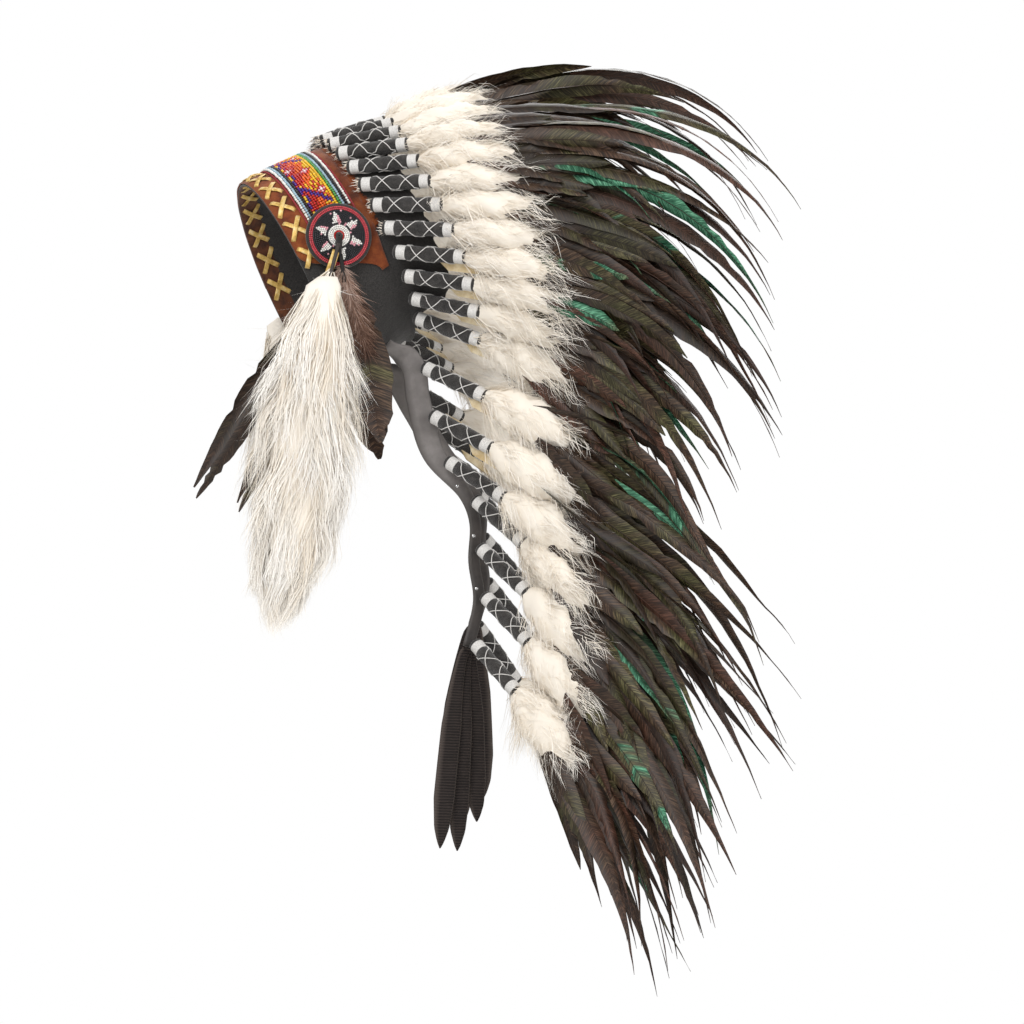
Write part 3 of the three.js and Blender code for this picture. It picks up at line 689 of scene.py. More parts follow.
def feather_line(quill, side):
    """A left feather's middle, a point at every step from the start of its wrap."""
    number = abs(quill)
    lean, flare, plume, droop, late = stance(number)
    loose = smoothstep(number, *LOOSENING)
    spread = 1 + (HANGS[side]["flare"] - 1) * loose
    share = np.clip((np.arange(0, REACH, STEP) + STEP / 2 - WRAP["length"]) / plume, 0, 1)
    lean = lean + loose * HANGS[side]["lift"] - droop * share ** late
    steps = STEP * direction(lean, spread * flare * (1 - GATHERS * share))
    line = np.vstack([[0, 0, 0], np.cumsum(steps, axis=0)]) + seat_of(number, side)
    return line * [1, -1 if quill < 0 else 1, 1]


class Feather:
    """Where one feather runs: its middle, the way across the fan, the way off it, and its room."""

    def __init__(self, quill, side):
        self.quill, self.side = quill, side
        self.line = feather_line(quill, side)
        before = feather_line(quill - 1, side)
        last = quill == QUILLS["crown"] + QUILLS["trailer"]
        after = self.line if last else feather_line(quill + 1, side)
        self.along = unit(np.gradient(self.line, axis=0))
        across = after - before
        self.across = unit(across - self.along * (across * self.along).sum(1, keepdims=True))
        self.off = np.cross(self.across, self.along)
        near, far = (np.abs(((other - self.line) * self.across).sum(1)) for other in (before, after))
        self.room = ROOM * (near if last else np.minimum(near, far))
        self.end = WRAP["length"] + stance(quill)[2]
        self.node = "feather_centre" if quill == 0 else f"feather_{quill:02d}_{side}"

    def pick(self, field, distance):
        """A field of the feather at any distance along it."""
        values = getattr(self, field)
        gone = np.arange(len(values)) * STEP
        if values.ndim == 1:
            return np.interp(distance, gone, values)
        return np.stack([np.interp(distance, gone, column) for column in values.T], -1)

    def vane(self, distance, roll):
        """The way across a vane that is rolled out of the fan."""
        return (self.pick("across", distance) * np.cos(roll)[..., None]
                + self.pick("off", distance) * np.sin(roll)[..., None])

    def spot(self, distance, across, off):
        """The point at a distance along the feather, across the fan and off it."""
        return (self.pick("line", distance) + self.pick("across", distance) * np.asarray(across)[..., None]
                + self.pick("off", distance) * np.asarray(off)[..., None])

    def by_quill(self, along, across, off):
        """The point along the straight quill from its start, across the fan and off it."""
        parts = ((self.along, along), (self.across, across), (self.off, off))
        return self.line[0] + sum(way[0] * np.asarray(length)[..., None] for way, length in parts)

    def settle(self, points):
        """The points on this feather's own side of the head."""
        return points * [1, HANGS[self.side]["sign"], 1]


FEATHERS = [Feather(0, "left")]
for side in HANGS:
    FEATHERS += [Feather(quill, side) for quill in range(1, QUILLS["crown"] + QUILLS["trailer"] + 1)]

# The roll's outline, by distance along and radius. Then one thread's path over a face of the roll.
ROLL = ((0, 1.0), (0.2, 4.2), (1.0, 5.5), (2.2, 5.9), (3.2, 5.6), (11, 5.6), (12, 6.1), (17, 6.25), (24, 6.1),
        (33, 6.35), (42, 6.1), (49, 6.25), (54, 6.1), (55, 5.6), (62.8, 5.6), (63.8, 5.9), (65, 5.5),
        (65.8, 4.2), (66, 1.0))
WHIPPING = {"from": 3.4, "to": 11.4, "turns": 6, "thread": 0.42}
CROSSES = (22.5, 43.5)
sweep = np.linspace(-1, 1, 9)
spans = np.concatenate([middle + np.concatenate([[-10.5], 6.8 * sweep, [10.5]]) for middle in CROSSES])
swings = np.concatenate([[-1.5], np.arcsin(0.96 * sweep), [1.5]])
swings = np.concatenate([swings, -swings])
roll_angles = turns(18)


def round_quill(feather, profile, wobble=0.0):
    """Rings round a quill from a profile of distances and radii, with a little unevenness."""
    rings = []
    for i, (distance, radius) in enumerate(profile):
        reach = radius * (1 + wobble * np.sin(3 * roll_angles + 1.3 * i + feather.quill) * math.sin(1.1 * i))
        rings.append(feather.by_quill(distance, reach * np.cos(roll_angles), reach * np.sin(roll_angles)))
    return feather.settle(np.array(rings))


rolls, threads = Lot(), Lot()
for feather in FEATHERS:
    rolls.add(round_quill(feather, ROLL, 0.03), lot=draw(0, 1))
    near = (WHIPPING["from"], WHIPPING["to"])
    far = (WRAP["length"] - WHIPPING["to"], WRAP["length"] - WHIPPING["from"])
    for start, end in (near, far):
        spots = np.linspace(start, end, 2 * WHIPPING["turns"] + 1)
        ridged = [(spot, 5.75 if i % 2 == 0 else 6.3) for i, spot in enumerate(spots)]
        threads.add(round_quill(feather, [(start - 0.2, 5.2)] + ridged + [(end + 0.2, 5.2)]), lot=draw(0, 1))
    base, out = feather.line[0], feather.off[0]
    inward = np.dot(out, base - UP * base.dot(UP)) < 0 if feather.quill <= QUILLS["crown"] else out[1] > 0
    for turn in (0, math.pi):
        for way in (1, -1):
            lift = 6.55 + (0.45 if way > 0 else 0) * np.exp(-(swings / 0.4) ** 2)
            off = lift * np.cos(way * swings + turn) * (-1 if inward else 1)
            path = feather.by_quill(spans, lift * np.sin(way * swings + turn), off)
            threads.add(feather.settle(tube(path, WHIPPING["thread"], 5)), lot=draw(0, 1))

wool = Finish("charcoal_felt_roll", Roughness=0.95, Sheen_Weight=0.3, Sheen_Roughness=0.4)
fibres = wool.noise(1100, 5, 0.75)
pills = wool.noise(170, 4, 0.6)
wool.feed(
    Base_Color=wool.ramp(fibres * 0.6 + pills * 0.4, (0.36, "161515"), (0.64, "4a4745")),
    Normal=wool.relief(fibres + pills, 0.8, 0.0013),
)
QUILL_NODES = [feather.node for feather in FEATHERS]
rolls.make("quill_wraps", wool, "black_felt", QUILL_NODES)

cotton = Finish("white_cotton_thread", Roughness=0.8)
strand = cotton.noise(1500, 3, 0.6)
cotton.feed(
    Base_Color=cotton.ramp(strand, (0.3, "bdbab8"), (0.7, "f4f2ee")),
    Normal=cotton.relief(strand, 0.5, 0.0004),
)
threads.make("quill_whipping", cotton, "black_felt", QUILL_NODES)

# ---- Trailers and lappets ----
# Two straps of soft grey-brown leather carry the lower feathers. They are sewn flat on the felt behind, twist
# edge-on, and end in three pointed lappets each, with small rivets where the quills are tied.
TWIST = (0.01, 0.09)
LAPPET = {"thick": 2, "width": 8.6}
LAPPETS = (("front", 121, 50, 481), ("middle", 137, 43, 482), ("rear", 155, 36, 456))
leather = Finish("grey_brown_leather", Roughness=0.55)
hide = leather.noise(60, 5, 0.6)
pores = leather.node("ShaderNodeTexVoronoi", {}, {"Scale": 900, "Vector": leather.place()})
edge = leather.mark("edge")
# The upper part of each strap is painted a lighter grey, a painted sheen where the strap twists; the low mark
# turns it to the darker tone lower down.
leather_and_painted_sheen = leather.blend(
    leather.mark("low"),
    leather.ramp(hide, (0.2, "6c6765"), (0.5, "7f7a78"), (0.8, "938e8c")),
    leather.ramp(hide, (0.3, "211d1b"), (0.6, "3a3431"), (0.8, "4e4743")))
leather.feed(
    Base_Color=leather.blend(edge * 0.6, leather_and_painted_sheen, "4d4845"),
    Roughness=hide * 0.3 + 0.4,
    Normal=leather.relief(pores * 0.4 + hide, 0.35, 0.0006),
)
black_leather = Finish("ribbed_black_leather", Roughness=0.75, Specular_IOR_Level=0.25)
ribs = black_leather.node("ShaderNodeTexWave", {"bands_direction": "Z"}, {
    "Scale": 130, "Distortion": 1.2, "Detail": 2, "Vector": black_leather.place()})
cloudy = black_leather.noise(80, 4, 0.6)
black_leather.feed(
    Base_Color=black_leather.blend(
        black_leather.mark("edge") * 0.7,
        black_leather.ramp(ribs * 0.5 + cloudy * 0.5, (0.25, "14100f"), (0.75, "332b28")),
        "544b46"),
    Normal=black_leather.relief(ribs + cloudy * 0.5, 0.5, 0.0006),
)
nickel = Finish("nickel_rivet", Metallic=1.0)
scuffs = nickel.noise(700, 3, 0.6)
nickel.feed(Base_Color=nickel.ramp(scuffs, (0.3, 0.5), (0.7, 0.85)), Roughness=scuffs * 0.4)


def edges_of(rings):
    """A mark that is 1 on a strap's two edges."""
    mark = np.zeros(rings.shape[:2])
    mark[:, [0, 1, 5, 6]] = 1
    return mark.ravel()


RIVETS = (0.5, 0.66, 0.82)
DOME = turned(((1.7, 0), (1.5, 0.5), (0.9, 0.9), (0.2, 1.0)), 12)[..., [0, 2, 1]] * [1, -1, 1]
BLADE = ((0, 0.1, 0.38, 0.75, 0.9, 0.97, 1), (0.45, 0.55, 1, 1.05, 0.75, 0.35, 0.06))
for side, hang in HANGS.items():
    mirror = [1, hang["sign"], 1]
    shares = np.linspace(0, 1, 70)
    path = follow(CURVES[side], shares)
    along = unit(np.gradient(path, axis=0))
    behind, ahead = (band_point(TRAILER["sewn_at"] + step, TRAILER["sewn_up"], 0) for step in (-1, 1))
    turn = smoothstep(shares, *TWIST)[:, None]
    across = unit(behind - ahead) * (1 - turn) + np.array([1.0, 0, 0]) * turn
    across = unit(across - along * (across * along).sum(1, keepdims=True))
    rings = strap(path, np.cross(along, across), 2 * trailer_half(shares), TRAILER["thick"])
    # low is 0 on the upper part, painted lighter as a sheen, and 1 lower down.
    low = np.repeat(smoothstep(shares, 0.42, 0.62), rings.shape[1])
    piece(f"trailer_strap_{side}", leather, "dark_leather", [f"trailer_{side}"], rings * mirror,
          edge=edges_of(rings), low=low)
    rivets = Lot()
    for share in RIVETS:
        at = follow(CURVES[side], [share])[0] - [0.35 * trailer_half(share), TRAILER["thick"] / 2, 0]
        rivets.add((at + DOME) * mirror)
    rivets.make(f"trailer_rivets_{side}", nickel, "dark_leather")
    share = np.linspace(0, 1, 46)
    width = 2 * LAPPET["width"] * np.interp(share, *BLADE)
    for number, (name, back, out, below) in enumerate(LAPPETS):
        step = number - 1
        start = path[-1] + [2 * step, (LAPPET["thick"] + PLY) * step, -TRAILER["thick"] - PLY / 2]
        tip = np.array([back + hang["back"], -out, path[-1, 2] - (below - TRAILER_LINE[-1, 2])])
        middle = start + (tip - start) * share[:, None]
        middle[:, 0] = start[0] + (tip[0] - start[0]) * share ** 0.6
        middle[:, 1] += 0.5 * np.sin(share * 9 + number)
        rings = strap(middle, np.tile([0.0, -1.0, 0.0], (len(share), 1)), width, LAPPET["thick"])
        piece(f"lappet_blade_{name}_{side}", black_leather, "dark_leather", [f"lappet_{name}_{side}"],
              rings * mirror, edge=edges_of(rings))

# ---- White fluff ----
# Each quill passes through a tuft of white turkey down at the end of its wrap. The down is fine and loose,
# gathers into soft locks, and stands out on every side of the quill with wisps at its end.
FLUFF = {"from": 60, "clumps": 78, "each": 14, "stations": 5, "wisps": 60}


def fluff_half(distance):
    """The tuft's half width and half depth along the quill."""
    places = (60, 66, 76, 112, 138, 160, 190)
    return (np.interp(distance, places, (9, 17, 22, 24, 22, 19, 15)),
            np.interp(distance, places, (9, 13, 17, 19, 16, 12, 9)))


def add_strands(lot, settle, paths, half, flat, tones):
    """Strands of hair or down, each with its own tone."""
    points, faces, along = ribbons(paths, half, flat)
    lot.add(settle(points), faces, along=along, lot=np.repeat(tones, len(points) // len(paths)))


def tuft(feather):
    """One quill's down, in wavy locks whose strands part at the root and meet at the tip, and loose wisps."""
    clumps, each = FLUFF["clumps"], FLUFF["each"]
    root = draw(FLUFF["from"], 138, clumps)
    reach = draw(20, 42, clumps)
    angle = draw(0, 2 * math.pi, clumps)
    spread = np.sqrt(draw(0.5, 1.5, clumps))
    bend = stray(1, (clumps, 3))
    phase = draw(0, 6.3, clumps)
    lock = np.concatenate([np.repeat(np.arange(clumps), each), random.integers(0, clumps, FLUFF["wisps"])])
    number = len(lock)
    wisp = np.arange(number) >= clumps * each
    s = np.linspace(0, 1, FLUFF["stations"])[None, :]
    start = root[lock] + stray(5, number)
    finish = start + reach[lock] * draw(0.6, 1.2, number) * np.where(wisp, 1.4, 1)
    finish = np.minimum(finish, draw(150, 188, clumps)[lock] + stray(2, number))
    start = np.minimum(start, finish - 12)
    distance = start[:, None] + (finish - start)[:, None] * s
    turn = angle[lock] + stray(0.6, number)
    meet = angle[lock] + stray(np.where(wisp, 0.5, 0.12))
    swing = turn[:, None] + (meet - turn)[:, None] * s
    tip = spread[lock] * draw(0.92, 1.04, number) * np.where(wisp, 1.15, 1)
    out = 0.25 + (tip - 0.25)[:, None] * s ** 0.75
    wide, deep = fluff_half(distance)
    wide = np.minimum(wide, np.maximum(feather.pick("room", distance) * 2.2, 9))
    wave = np.sin(phase[lock][:, None] + 5.2 * s + stray(0.4, number)[:, None]) * s
    curl = bend[lock][:, None, :] * (4.2 * wave)[..., None]
    curl = curl + stray(1, (number, 1, 3)) * (np.where(wisp, 5, 0.9)[:, None] * s ** 1.6)[..., None]
    drift = draw(-10, 10, clumps)[lock][:, None] * s ** 1.3
    paths = feather.spot(distance, wide * out * np.cos(swing) + drift, deep * out * np.sin(swing)) + curl
    paths[..., 2] -= 6.0 * s ** 2
    tones = np.clip(draw(0, 1, clumps)[lock] + stray(0.15, number), 0, 1)
    flat = laid_flat(paths, paths[:, -2] - feather.pick("line", distance[:, -2]))
    return paths, draw(0.25, 0.5, number), flat, tones


CORE = (60, 63, 68, 74, 80, 86, 92, 98, 104, 110, 116, 122, 128, 134, 140, 146, 151)
core_angles = turns(18)


def tuft_core(feather):
    """The matted middle of a tuft, which the loose down covers."""
    rings = []
    for distance in CORE:
        wide, deep = fluff_half(distance)
        swell = 0.78 * math.sin(math.pi * (distance - 57) / 98) ** 0.45
        wide = min(wide, max(feather.pick("room", distance) * 1.8, 6)) * swell
        lumps = (1 + 0.12 * np.sin(3 * core_angles + distance * 0.21 + feather.quill)
                 + 0.06 * np.sin(7 * core_angles - distance * 0.5))
        rings.append(feather.spot(distance, wide * lumps * np.cos(core_angles),
                                  deep * swell * lumps * np.sin(core_angles)))
    return np.array(rings)


def in_groups(front, last, *spans):
    """The feathers by group: the front ones, then each span of quills on either side."""
    groups = {front: [feather for feather in FEATHERS if feather.quill <= last]}
    for name, after, until in spans:
        for side in HANGS:
            groups[f"{name}_{side}"] = [
                feather for feather in FEATHERS if after < feather.quill <= until and feather.side == side]
    return groups.items()


# The down is painted darker towards the root, a painted shade deep in the tuft, and lighter at the tips, a
# painted highlight; each lock also has its own random tone.
down = Finish("white_down", Roughness=0.9, Sheen_Weight=0.2, Specular_IOR_Level=0.2)
down.feed(Base_Color=down.ramp(
    down.mark("along") * 0.6 + down.mark("lot") * 0.4, (0.05, "dccdb8"), (0.35, "f0e7d9"), (0.75, "fbf6ee")))
random = np.random.default_rng(23)
for name, group in in_groups("crown_front", 4, ("crown", 4, 11), ("trailer", 11, 18)):
    tufts = Lot()
    for feather in group:
        tufts.add(feather.settle(tuft_core(feather)), along=0.45, lot=draw(0.3, 0.5))
        add_strands(tufts, feather.settle, *tuft(feather))
    tufts.make(f"fluff_{name}", down, "white_fur", [feather.node for feather in group])

# Wool ends fray out of the front rolls where they meet the band.
FRAYED = {"last": 7, "strands": 34}
random = np.random.default_rng(17)
frayed = Lot()
for feather in [feather for feather in FEATHERS if feather.quill <= FRAYED["last"]]:
    column = (FRAYED["strands"], 1)
    angle = draw(0, 2 * math.pi, column)
    share = np.linspace(0, 1, 4)[None, :]
    distance = draw(0, 3, column) - draw(1.5, 6, column) * share
    radius = 5.4 + draw(-2, 2.2, column) * share
    paths = feather.by_quill(distance, radius * np.cos(angle), radius * np.sin(angle))
    paths = paths + stray(1.1, column + (3,)) * share[..., None] ** 2
    add_strands(frayed, feather.settle, paths, draw(0.25, 0.5, FRAYED["strands"]),
                laid_flat(paths, paths[:, 0] - feather.line[0]), draw(0, 0.5, FRAYED["strands"]))
frayed.make("frayed_wool_ends", down, "white_fur")

# ---- Hide tabs ----
# Thin tabs of pale rawhide, cut aslant at the end, stiffen the gaps between the side wraps. They are glued
# under the down and lie beside each quill.
TAB_FACES = (-1.9, -1.18, -1.1)
tabs = Lot()
for feather in [feather for feather in FEATHERS if 8 <= feather.quill <= 13]:
    tip = draw(40, 50)
    outline = ((tip, 6.6), (tip + 7, 13), (84, 14.5), (84, 5))
    sheet = [[feather.spot(distance, across, off) for distance, across in outline] for off in TAB_FACES]
    tabs.add(feather.settle(np.array(sheet)))
rawhide = Finish("pale_rawhide", Roughness=0.75)
stain = rawhide.noise(110, 4, 0.6)
rawhide.feed(
    Base_Color=rawhide.ramp(stain, (0.3, "bfa678"), (0.55, "dccba8"), (0.8, "efe5cf")),
    Normal=rawhide.relief(stain, 0.3, 0.0006),
)
tabs.make("hide_tabs", rawhide, "white_fur", smooth=False)

# ---- Plumes ----
# Long rooster tail feathers spring from each tuft, nine long and up to seven short. Each is a glossy blade,
# widest before its middle, that draws out into a thin curved tip. They are dark brown to black, with some
# bronze, and a green iridescent sheen is painted on the middle of some.
PLUME = {"each": 9, "short": 7, "trailer_short": 3, "starts": 112, "stations": 28, "slant": 10, "stem": 0.6}
LONG_BLADE = ((0, 0.12, 0.3, 0.5, 0.66, 0.8, 0.9, 1), (0.45, 0.8, 1, 0.92, 0.62, 0.32, 0.13, 0.02))
SHORT_BLADE = ((0, 0.15, 0.4, 0.7, 0.9, 1), (0.4, 0.8, 1, 0.75, 0.35, 0.04))
ACROSS = np.array([-1, -0.7, -0.35, 0, 0.35, 0.7, 1])


def blade(line, vane, width):
    """A feather's vane along its stem: its barbs slant forward, and part in places at the edge."""
    count, size = len(line), len(ACROSS)
    step = np.linalg.norm(np.diff(line, axis=0), axis=1).mean()
    ahead = np.abs(ACROSS) * PLUME["slant"] * (width / width.max())[:, None] / step
    places = np.minimum(np.arange(count)[:, None] + ahead, count - 1)
    middle, across = (np.stack([np.interp(places, np.arange(count), part) for part in rows.T], -1)
                      for rows in (line, vane))
    normal = unit(np.cross(across, np.gradient(line, axis=0)[:, None, :]))
    torn = 1 - 0.35 * (draw(0, 1, (count, 2)) < 0.1) - 0.12 * draw(0, 1, (count, 2))
    ragged = np.ones((count, size))
    ragged[:, [0, -1]], ragged[:, [1, -2]] = torn, 0.5 + 0.5 * torn
    reach = ACROSS * width[:, None] * ragged
    cup = ACROSS ** 2 * width[:, None] * draw(0.12, 0.4)
    cup = cup + 0.35 * np.sin(places * 1.7 + 3 * ACROSS) * np.abs(ACROSS)
    i, j = np.meshgrid(np.arange(count - 1), np.arange(size - 1), indexing="ij")
    faces = np.stack([i * size + j, i * size + j + 1, (i + 1) * size + j + 1, (i + 1) * size + j], -1)
    return middle + across * reach[..., None] - normal * cup[..., None], [faces.reshape(-1, 4)]


def add_feather(lot, settle, line, vane, width, tone):
    """One feather's vane and stem, marked with where each point lies on it and with its own tone."""
    points, faces = blade(line, vane, width)
    own = np.repeat(np.linspace(0, 1, len(line)), len(ACROSS))
    length = np.linalg.norm(np.diff(line, axis=0), axis=1).sum()
    ones = np.ones(len(own))
    barb = np.stack([own * length, np.tile(ACROSS, len(line)), tone * 40 * ones, ones], -1)
    lot.add(settle(points), faces, along=own, lot=tone, barb=barb)
    stem = tube(line[::2], np.linspace(PLUME["stem"], 0.18, len(line[::2])), 3)
    lot.add(settle(stem), along=0, lot=tone * 0.6, barb=[0, 0, tone * 40, 1])


def plume_feathers(feather):
    """For each feather of a plume: its stem's line, the way across its vane, and its half width."""
    found = []
    own = np.linspace(0, 1, PLUME["stations"])
    for number in range(PLUME["each"]):
        part = 2 * number / (PLUME["each"] - 1) - 1 + draw(-0.1, 0.1)
        main = number == 4
        stretch = 1.0 if main else draw(0.85, 0.97) if number in (1, 6) else draw(0.45, 0.8)
        share = own * stretch
        distance = PLUME["starts"] + (feather.end - PLUME["starts"]) * share
        room = np.minimum(feather.pick("room", distance), 24)
        sway = part * 1.15 * np.sin(math.pi * share ** 0.72) + draw(-0.5, 0.5) * own ** 1.3
        sway = sway + draw(-1.2, 1.2) * own ** 2.4 + draw(-0.3, 0.3) * np.sin(5 * own)
        lift = draw(-1, 1) * 10 * np.sin(share * 2.4) + draw(-12, 6) * own ** 2.4
        line = feather.spot(distance, sway * room, lift)
        if not main:
            line[:, 2] += draw(-16, 14) * own ** 1.8
            line[:, 2] -= draw(6, 42) * np.clip(own - 0.45, 0, 1) ** 2 / 0.3
        line = line + feather.pick("along", distance) * (draw(-10, 0) * own ** 6)[:, None]
        vane = feather.vane(distance, stray(0.55) + stray(0.8) * own)
        found.append((line, vane, np.interp(own, *LONG_BLADE) * draw(7.5, 11.5)))
    short = PLUME["short"] if feather.quill <= QUILLS["crown"] else PLUME["trailer_short"]
    own = np.linspace(0, 1, 16)
    for number in range(short):
        part = 2 * number / (short - 1) - 1 + draw(-0.2, 0.2)
        distance = np.linspace(104, draw(185, 265), len(own))
        room = np.minimum(feather.pick("room", distance), 24)
        lift = (6 + draw(0, 8) * own) * (-1) ** number
        line = feather.spot(distance, part * (0.5 + 1.3 * own) * room, lift)
        line[:, 2] += draw(-16, 4) * own ** 2
        vane = feather.vane(distance, np.full(len(own), stray(0.5)))
        found.append((line, vane, np.interp(own, *SHORT_BLADE) * draw(8, 12)))
    return found


plumage = Finish("rooster_tail", Specular_IOR_Level=0.35)
lot, along = plumage.mark("lot"), plumage.mark("along")
barb = plumage.mark("barb", "Vector")
stripes = plumage.noise(0.9, 3, 0.7, barb)
patch = plumage.noise(0.02, 3, 0.6, barb)
brown = plumage.ramp(stripes, (0.3, "130c08"), (0.5, "36271d"), (0.7, "735b47"))
rust = plumage.ramp(stripes, (0.3, "1a0e09"), (0.5, "452b1e"), (0.7, "80594a"))
bronze = plumage.ramp(stripes, (0.3, "14120a"), (0.5, "3f3c22"), (0.7, "858058"))
# The green ramp is a painted iridescent sheen, laid on the middle stretch of some feathers.
teal_sheen = plumage.ramp(stripes, (0.3, "0d2a1e"), (0.5, "2a5c44"), (0.7, "76b08f"))
is_rust = plumage.ramp(lot * 0.4 + patch, (0.5, 1), (0.66, 0))
is_bronze = plumage.ramp(lot * 0.4 + patch, (0.76, 0), (0.92, 1))
middle = plumage.ramp(along, (0.2, 0), (0.45, 1), (0.8, 1), (0.97, 0.3))
teal_sheen_share = plumage.ramp(lot * 0.9 + patch * 0.3, (0.99, 0), (1.0, 1)) * middle
colour = plumage.blend(is_bronze, plumage.blend(is_rust, brown, rust), bronze)
# Some feathers are darkened at random: partly their own darker tone, partly a painted shade for feathers
# lying deep among the others.
deep = plumage.ramp(lot, (0.02, 0), (0.16, 0.75), (0.32, 0), (0.48, 0.7),
                         (0.64, 0), (0.82, 0.75), (0.96, 0))
colour = plumage.blend(deep, colour, "140d09")
plumage.feed(
    Base_Color=plumage.blend(teal_sheen_share, colour, teal_sheen),
    Roughness=stripes * 0.3 + 0.32,
    Metallic=teal_sheen_share * 0.35 + is_bronze * 0.15,
    Normal=plumage.relief(stripes, 0.35, 0.0006),
)

random = np.random.default_rng(5)
for name, group in in_groups("front", 2, ("upper", 2, 7), ("rear", 7, 11), ("trailer", 11, 18)):
    plumes = Lot()
    for feather in group:
        for line, vane, width in plume_feathers(feather):
            add_feather(plumes, feather.settle, line, vane, width, draw(0, 1))
    plumes.make(f"plumes_{name}", plumage, "dark_feather", [feather.node for feather in group])

# ---- Fur drops ----
# A long drop of white goat fur hangs by a thong from each rosette. Its hair lies in soft locks that fan out
# and thin to a few points.
FUR = np.array([  # sections: how far below, back and out, the half width and the half depth
    (-24, 25, 95, 2.2, 1.2), (0, 18, 101, 4, 3), (12, 11, 104, 22, 9), (62, 4, 107, 39, 16),
    (128, -4, 108, 47, 19), (195, -9, 106, 44, 17), (252, -16, 105, 31, 12), (309, -27, 104, 5, 3),
])
FUR_LOCKS = {"locks": 230, "each": 26, "stations": 6, "flying": 420}
FUR_CORE = (6, 14, 30, 60, 100, 140, 180, 215, 245, 270)


def fur_section(below):
    """The drop's middle, back and out, and its half width and half depth, at depths below the head seat."""
    return [np.interp(below, FUR[:, 0], FUR[:, i]) for i in range(1, 5)]


def drop_point(back, out, below, hang):
    """A point of a left side drop that hangs as its side hangs."""
    back = back + hang["drop_back"] * smoothstep(below, 0, 90)
    below = -below * np.where(np.asarray(below) > 0, hang["drop_length"], 1)
    return np.stack(np.broadcast_arrays(back, -np.asarray(out, float), below), -1)


def fur_strands(hang):
    """The drop's hair, in locks whose strands part at the root and meet at the tip."""
    locks = FUR_LOCKS["locks"]
    root = draw(6, 232, locks)
    reach = draw(70, 120, locks)
    angle = draw(0, 2 * math.pi, locks)
    spread = np.sqrt(draw(0.3, 1.25, locks))
    lock = np.repeat(np.arange(locks), FUR_LOCKS["each"])
    number = len(lock)
    s = np.linspace(0, 1, FUR_LOCKS["stations"])[None, :]
    start = root[lock] + stray(4, number)
    finish = start + reach[lock] * draw(0.85, 1.12, number)
    finish = np.minimum(finish, draw(268, 318, locks)[lock])
    below = start[:, None] + (finish - start)[:, None] * s
    turn = angle[lock] + stray(0.3, number)
    meet = angle[lock] + stray(0.07, number)
    swing = turn[:, None] + (meet - turn)[:, None] * s
    first = 0.45 * spread[lock]
    out = first[:, None] + (spread[lock] * draw(0.9, 1.06, number) - first)[:, None] * s ** 0.8
    back, side, wide, deep = fur_section(below)
    wave = 6.5 * np.sin(6.5 * s + lock[:, None] * 1.7 + stray(0.3, number)[:, None]) * s
    loose = stray(1, (2, number, 1)) * s ** 2
    paths = drop_point(back + wide * out * np.cos(swing) + wave + 4 * loose[0],
                       side + deep * out * np.sin(swing) + 2 * loose[1], below, hang)
    outward = np.stack([deep * np.cos(swing), -wide * np.sin(swing), 0 * swing], -1)[:, 3]
    tones = np.clip(draw(0, 1, locks)[lock] + stray(0.15, number), 0, 1)
    flat = laid_flat(paths, outward)
    return paths, draw(0.3, 0.6, number), flat, tones


def flying_hairs(hang):
    """Single hairs that stand off the drop."""
    number = FUR_LOCKS["flying"]
    s = np.linspace(0, 1, 4)[None, :]
    root, turn = draw(4, 150, (number, 1)), draw(0, 2 * math.pi, (number, 1))
    reach = draw(0.5, 1.25, (number, 1)) * s ** 0.8
    below = root + draw(-14, 60, (number, 1)) * s
    back, out, wide, deep = fur_section(root)
    paths = drop_point(back + (wide + 5) * reach * np.cos(turn), out + (deep + 4) * reach * np.sin(turn),
                       below, hang)
    paths = paths + stray(5, (number, 1, 3)) * s[..., None] ** 2
    flat = laid_flat(paths, paths[:, -1] - paths[:, 0])
    return paths, np.full(number, 0.22), flat, np.full(number, 0.8)


# The fur is painted darker towards each hair's root, a painted shade inside the drop, and lighter at the
# tips; each lock also has its own random tone.
fur = Finish("white_goat_fur", Roughness=0.85, Sheen_Weight=0.2, Specular_IOR_Level=0.2)
fur.feed(Base_Color=fur.ramp(
    fur.mark("along") * 0.5 + fur.mark("lot") * 0.5, (0.0, "d3c1a6"), (0.3, "efe6d8"), (0.7, "fdfaf5")))
random = np.random.default_rng(31)
for side, hang in HANGS.items():
    def own_side(points):
        """The points on this side of the head."""
        return points * [1, hang["sign"], 1]

    drop, rings = Lot(), []
    for below in FUR_CORE:
        back, out, wide, deep = fur_section(below)
        lumps = 0.6 + 0.06 * np.sin(4 * core_angles + below * 0.1)
        rings.append(drop_point(back + wide * lumps * np.cos(core_angles),
                                out + deep * lumps * np.sin(core_angles), below, hang))
    drop.add(own_side(np.array(rings)), along=0.3, lot=0.5)
    add_strands(drop, own_side, *fur_strands(hang))
    add_strands(drop, own_side, *flying_hairs(hang))
    drop.make(f"fur_drop_{side}", fur, "white_fur", [f"side_fur_{side}"])
    middle = drop_point(np.array([25, 22, 18, 14, 11]), np.array([95, 98, 101, 103, 104]),
                        np.array([-24, -14, 0, 8, 16]), hang)
    piece(f"fur_thong_{side}", leather, "dark_leather", (), tube(own_side(middle), 1.6), edge=0, low=1)

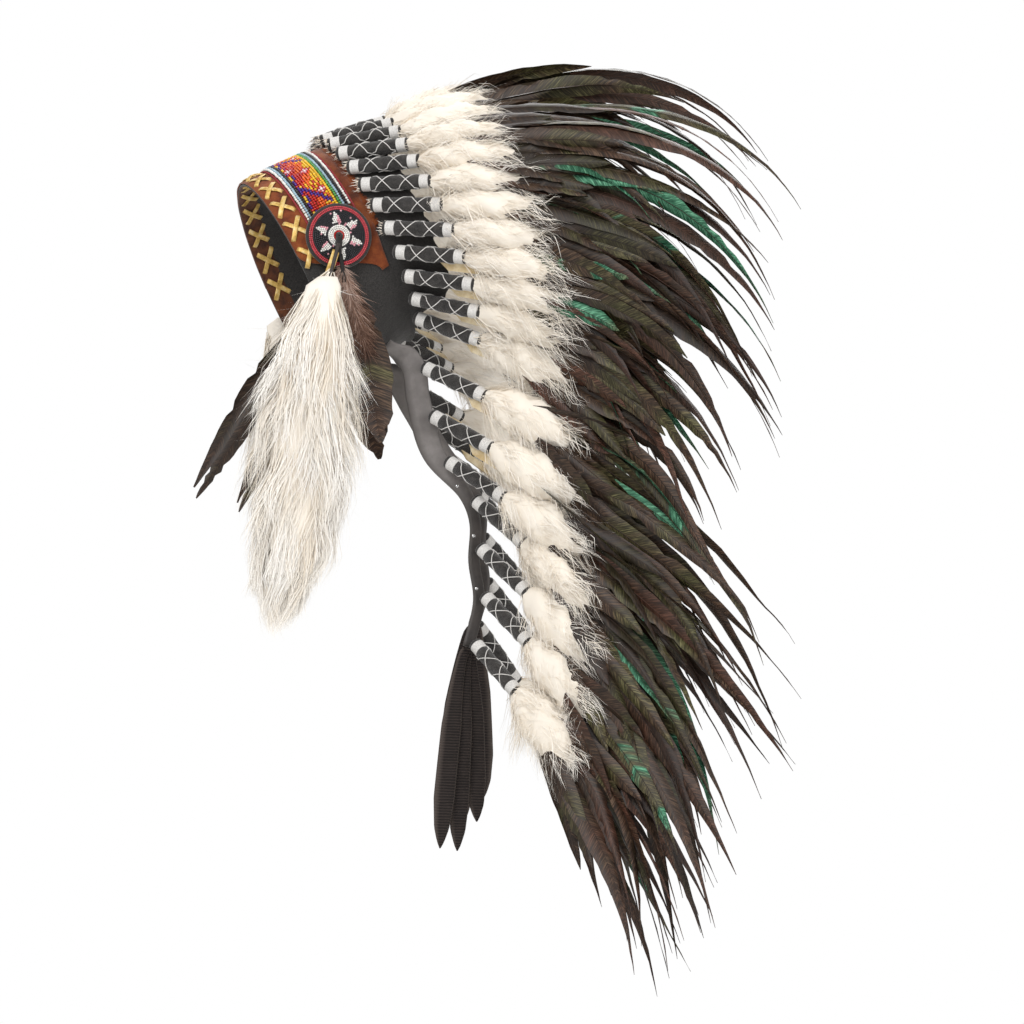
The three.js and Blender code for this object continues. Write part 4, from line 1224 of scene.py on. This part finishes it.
# ---- Side feathers ----
# Three dark feathers hang behind the fur: a short one with a downy root behind, and two long curved ones in
# front of it. Each row has how far back and below the root, the belly and the tip are, and the half width.
SIDE = (((30, 49, 63), (3, 58, 143), 20), ((26, -42, -96), (5, 92, 186), 8),
        ((28, -24, -59), (7, 112, 198), 7))
SIDE_OUT = 86
SIDE_BLADE = ((0, 0.22, 0.5, 0.8, 1), (0.3, 0.75, 1, 0.7, 0.1))
ROOT_DOWN = 1500
random = np.random.default_rng(41)
root_down = Finish("pinkish_brown_down", Roughness=0.9, Sheen_Weight=0.2, Specular_IOR_Level=0.2)
root_down.feed(Base_Color=root_down.ramp(
    root_down.mark("lot") * 0.8 + root_down.mark("along") * 0.2,
    (0.1, "c9b1a4"), (0.4, "8a6a5a"), (0.8, "3a261c")))
own = np.linspace(0, 1, 30)
for side, hang in HANGS.items():
    side_lot = Lot()
    for number, (back, below, belly) in enumerate(SIDE):
        line = follow(smooth_curve(drop_point(np.array(back), SIDE_OUT, np.array(below), hang)), own)
        along = unit(np.gradient(line, axis=0))
        vane = unit(along[:, [2, 1, 0]] * [-1, 0, 1])
        width = belly * np.interp(own, *SIDE_BLADE)
        add_feather(side_lot, own_side, line, vane, width, 0.35 + 0.1 * number)
    side_lot.make(f"side_plumes_{side}", plumage, "dark_feather", [f"side_feathers_{side}"])
    share = draw(0, 0.6, (ROOT_DOWN, 1))
    s = np.linspace(0, 1, 4)[None, :]
    swing = draw(-1, 1, (ROOT_DOWN, 1))
    reach = np.interp(share, (0, 0.25, 0.6), (11, 26, 19)) * draw(0.5, 1.1, (ROOT_DOWN, 1))
    back = np.interp(share, (0, 0.6), (29, 48)) + reach * swing * s
    below = np.interp(share, (0, 0.6), (-8, 62)) + reach * (1.1 - 0.5 * np.abs(swing)) * s ** 1.3
    paths = drop_point(back, SIDE_OUT + 2 + draw(-3, 7, (ROOT_DOWN, 1)) * s, below, hang)
    paths = paths + stray(1.8, (ROOT_DOWN, 1, 3)) * s[..., None] ** 2
    halves = draw(0.2, 0.4, ROOT_DOWN)
    flat = laid_flat(paths, np.tile([0.0, -1, 0], (ROOT_DOWN, 1)))
    tones = np.clip(share[:, 0] + 0.1 + stray(0.15, ROOT_DOWN), 0, 1)
    root = Lot()
    add_strands(root, own_side, paths, halves, flat, tones)
    root.make(f"side_down_{side}", root_down, "dark_feather")
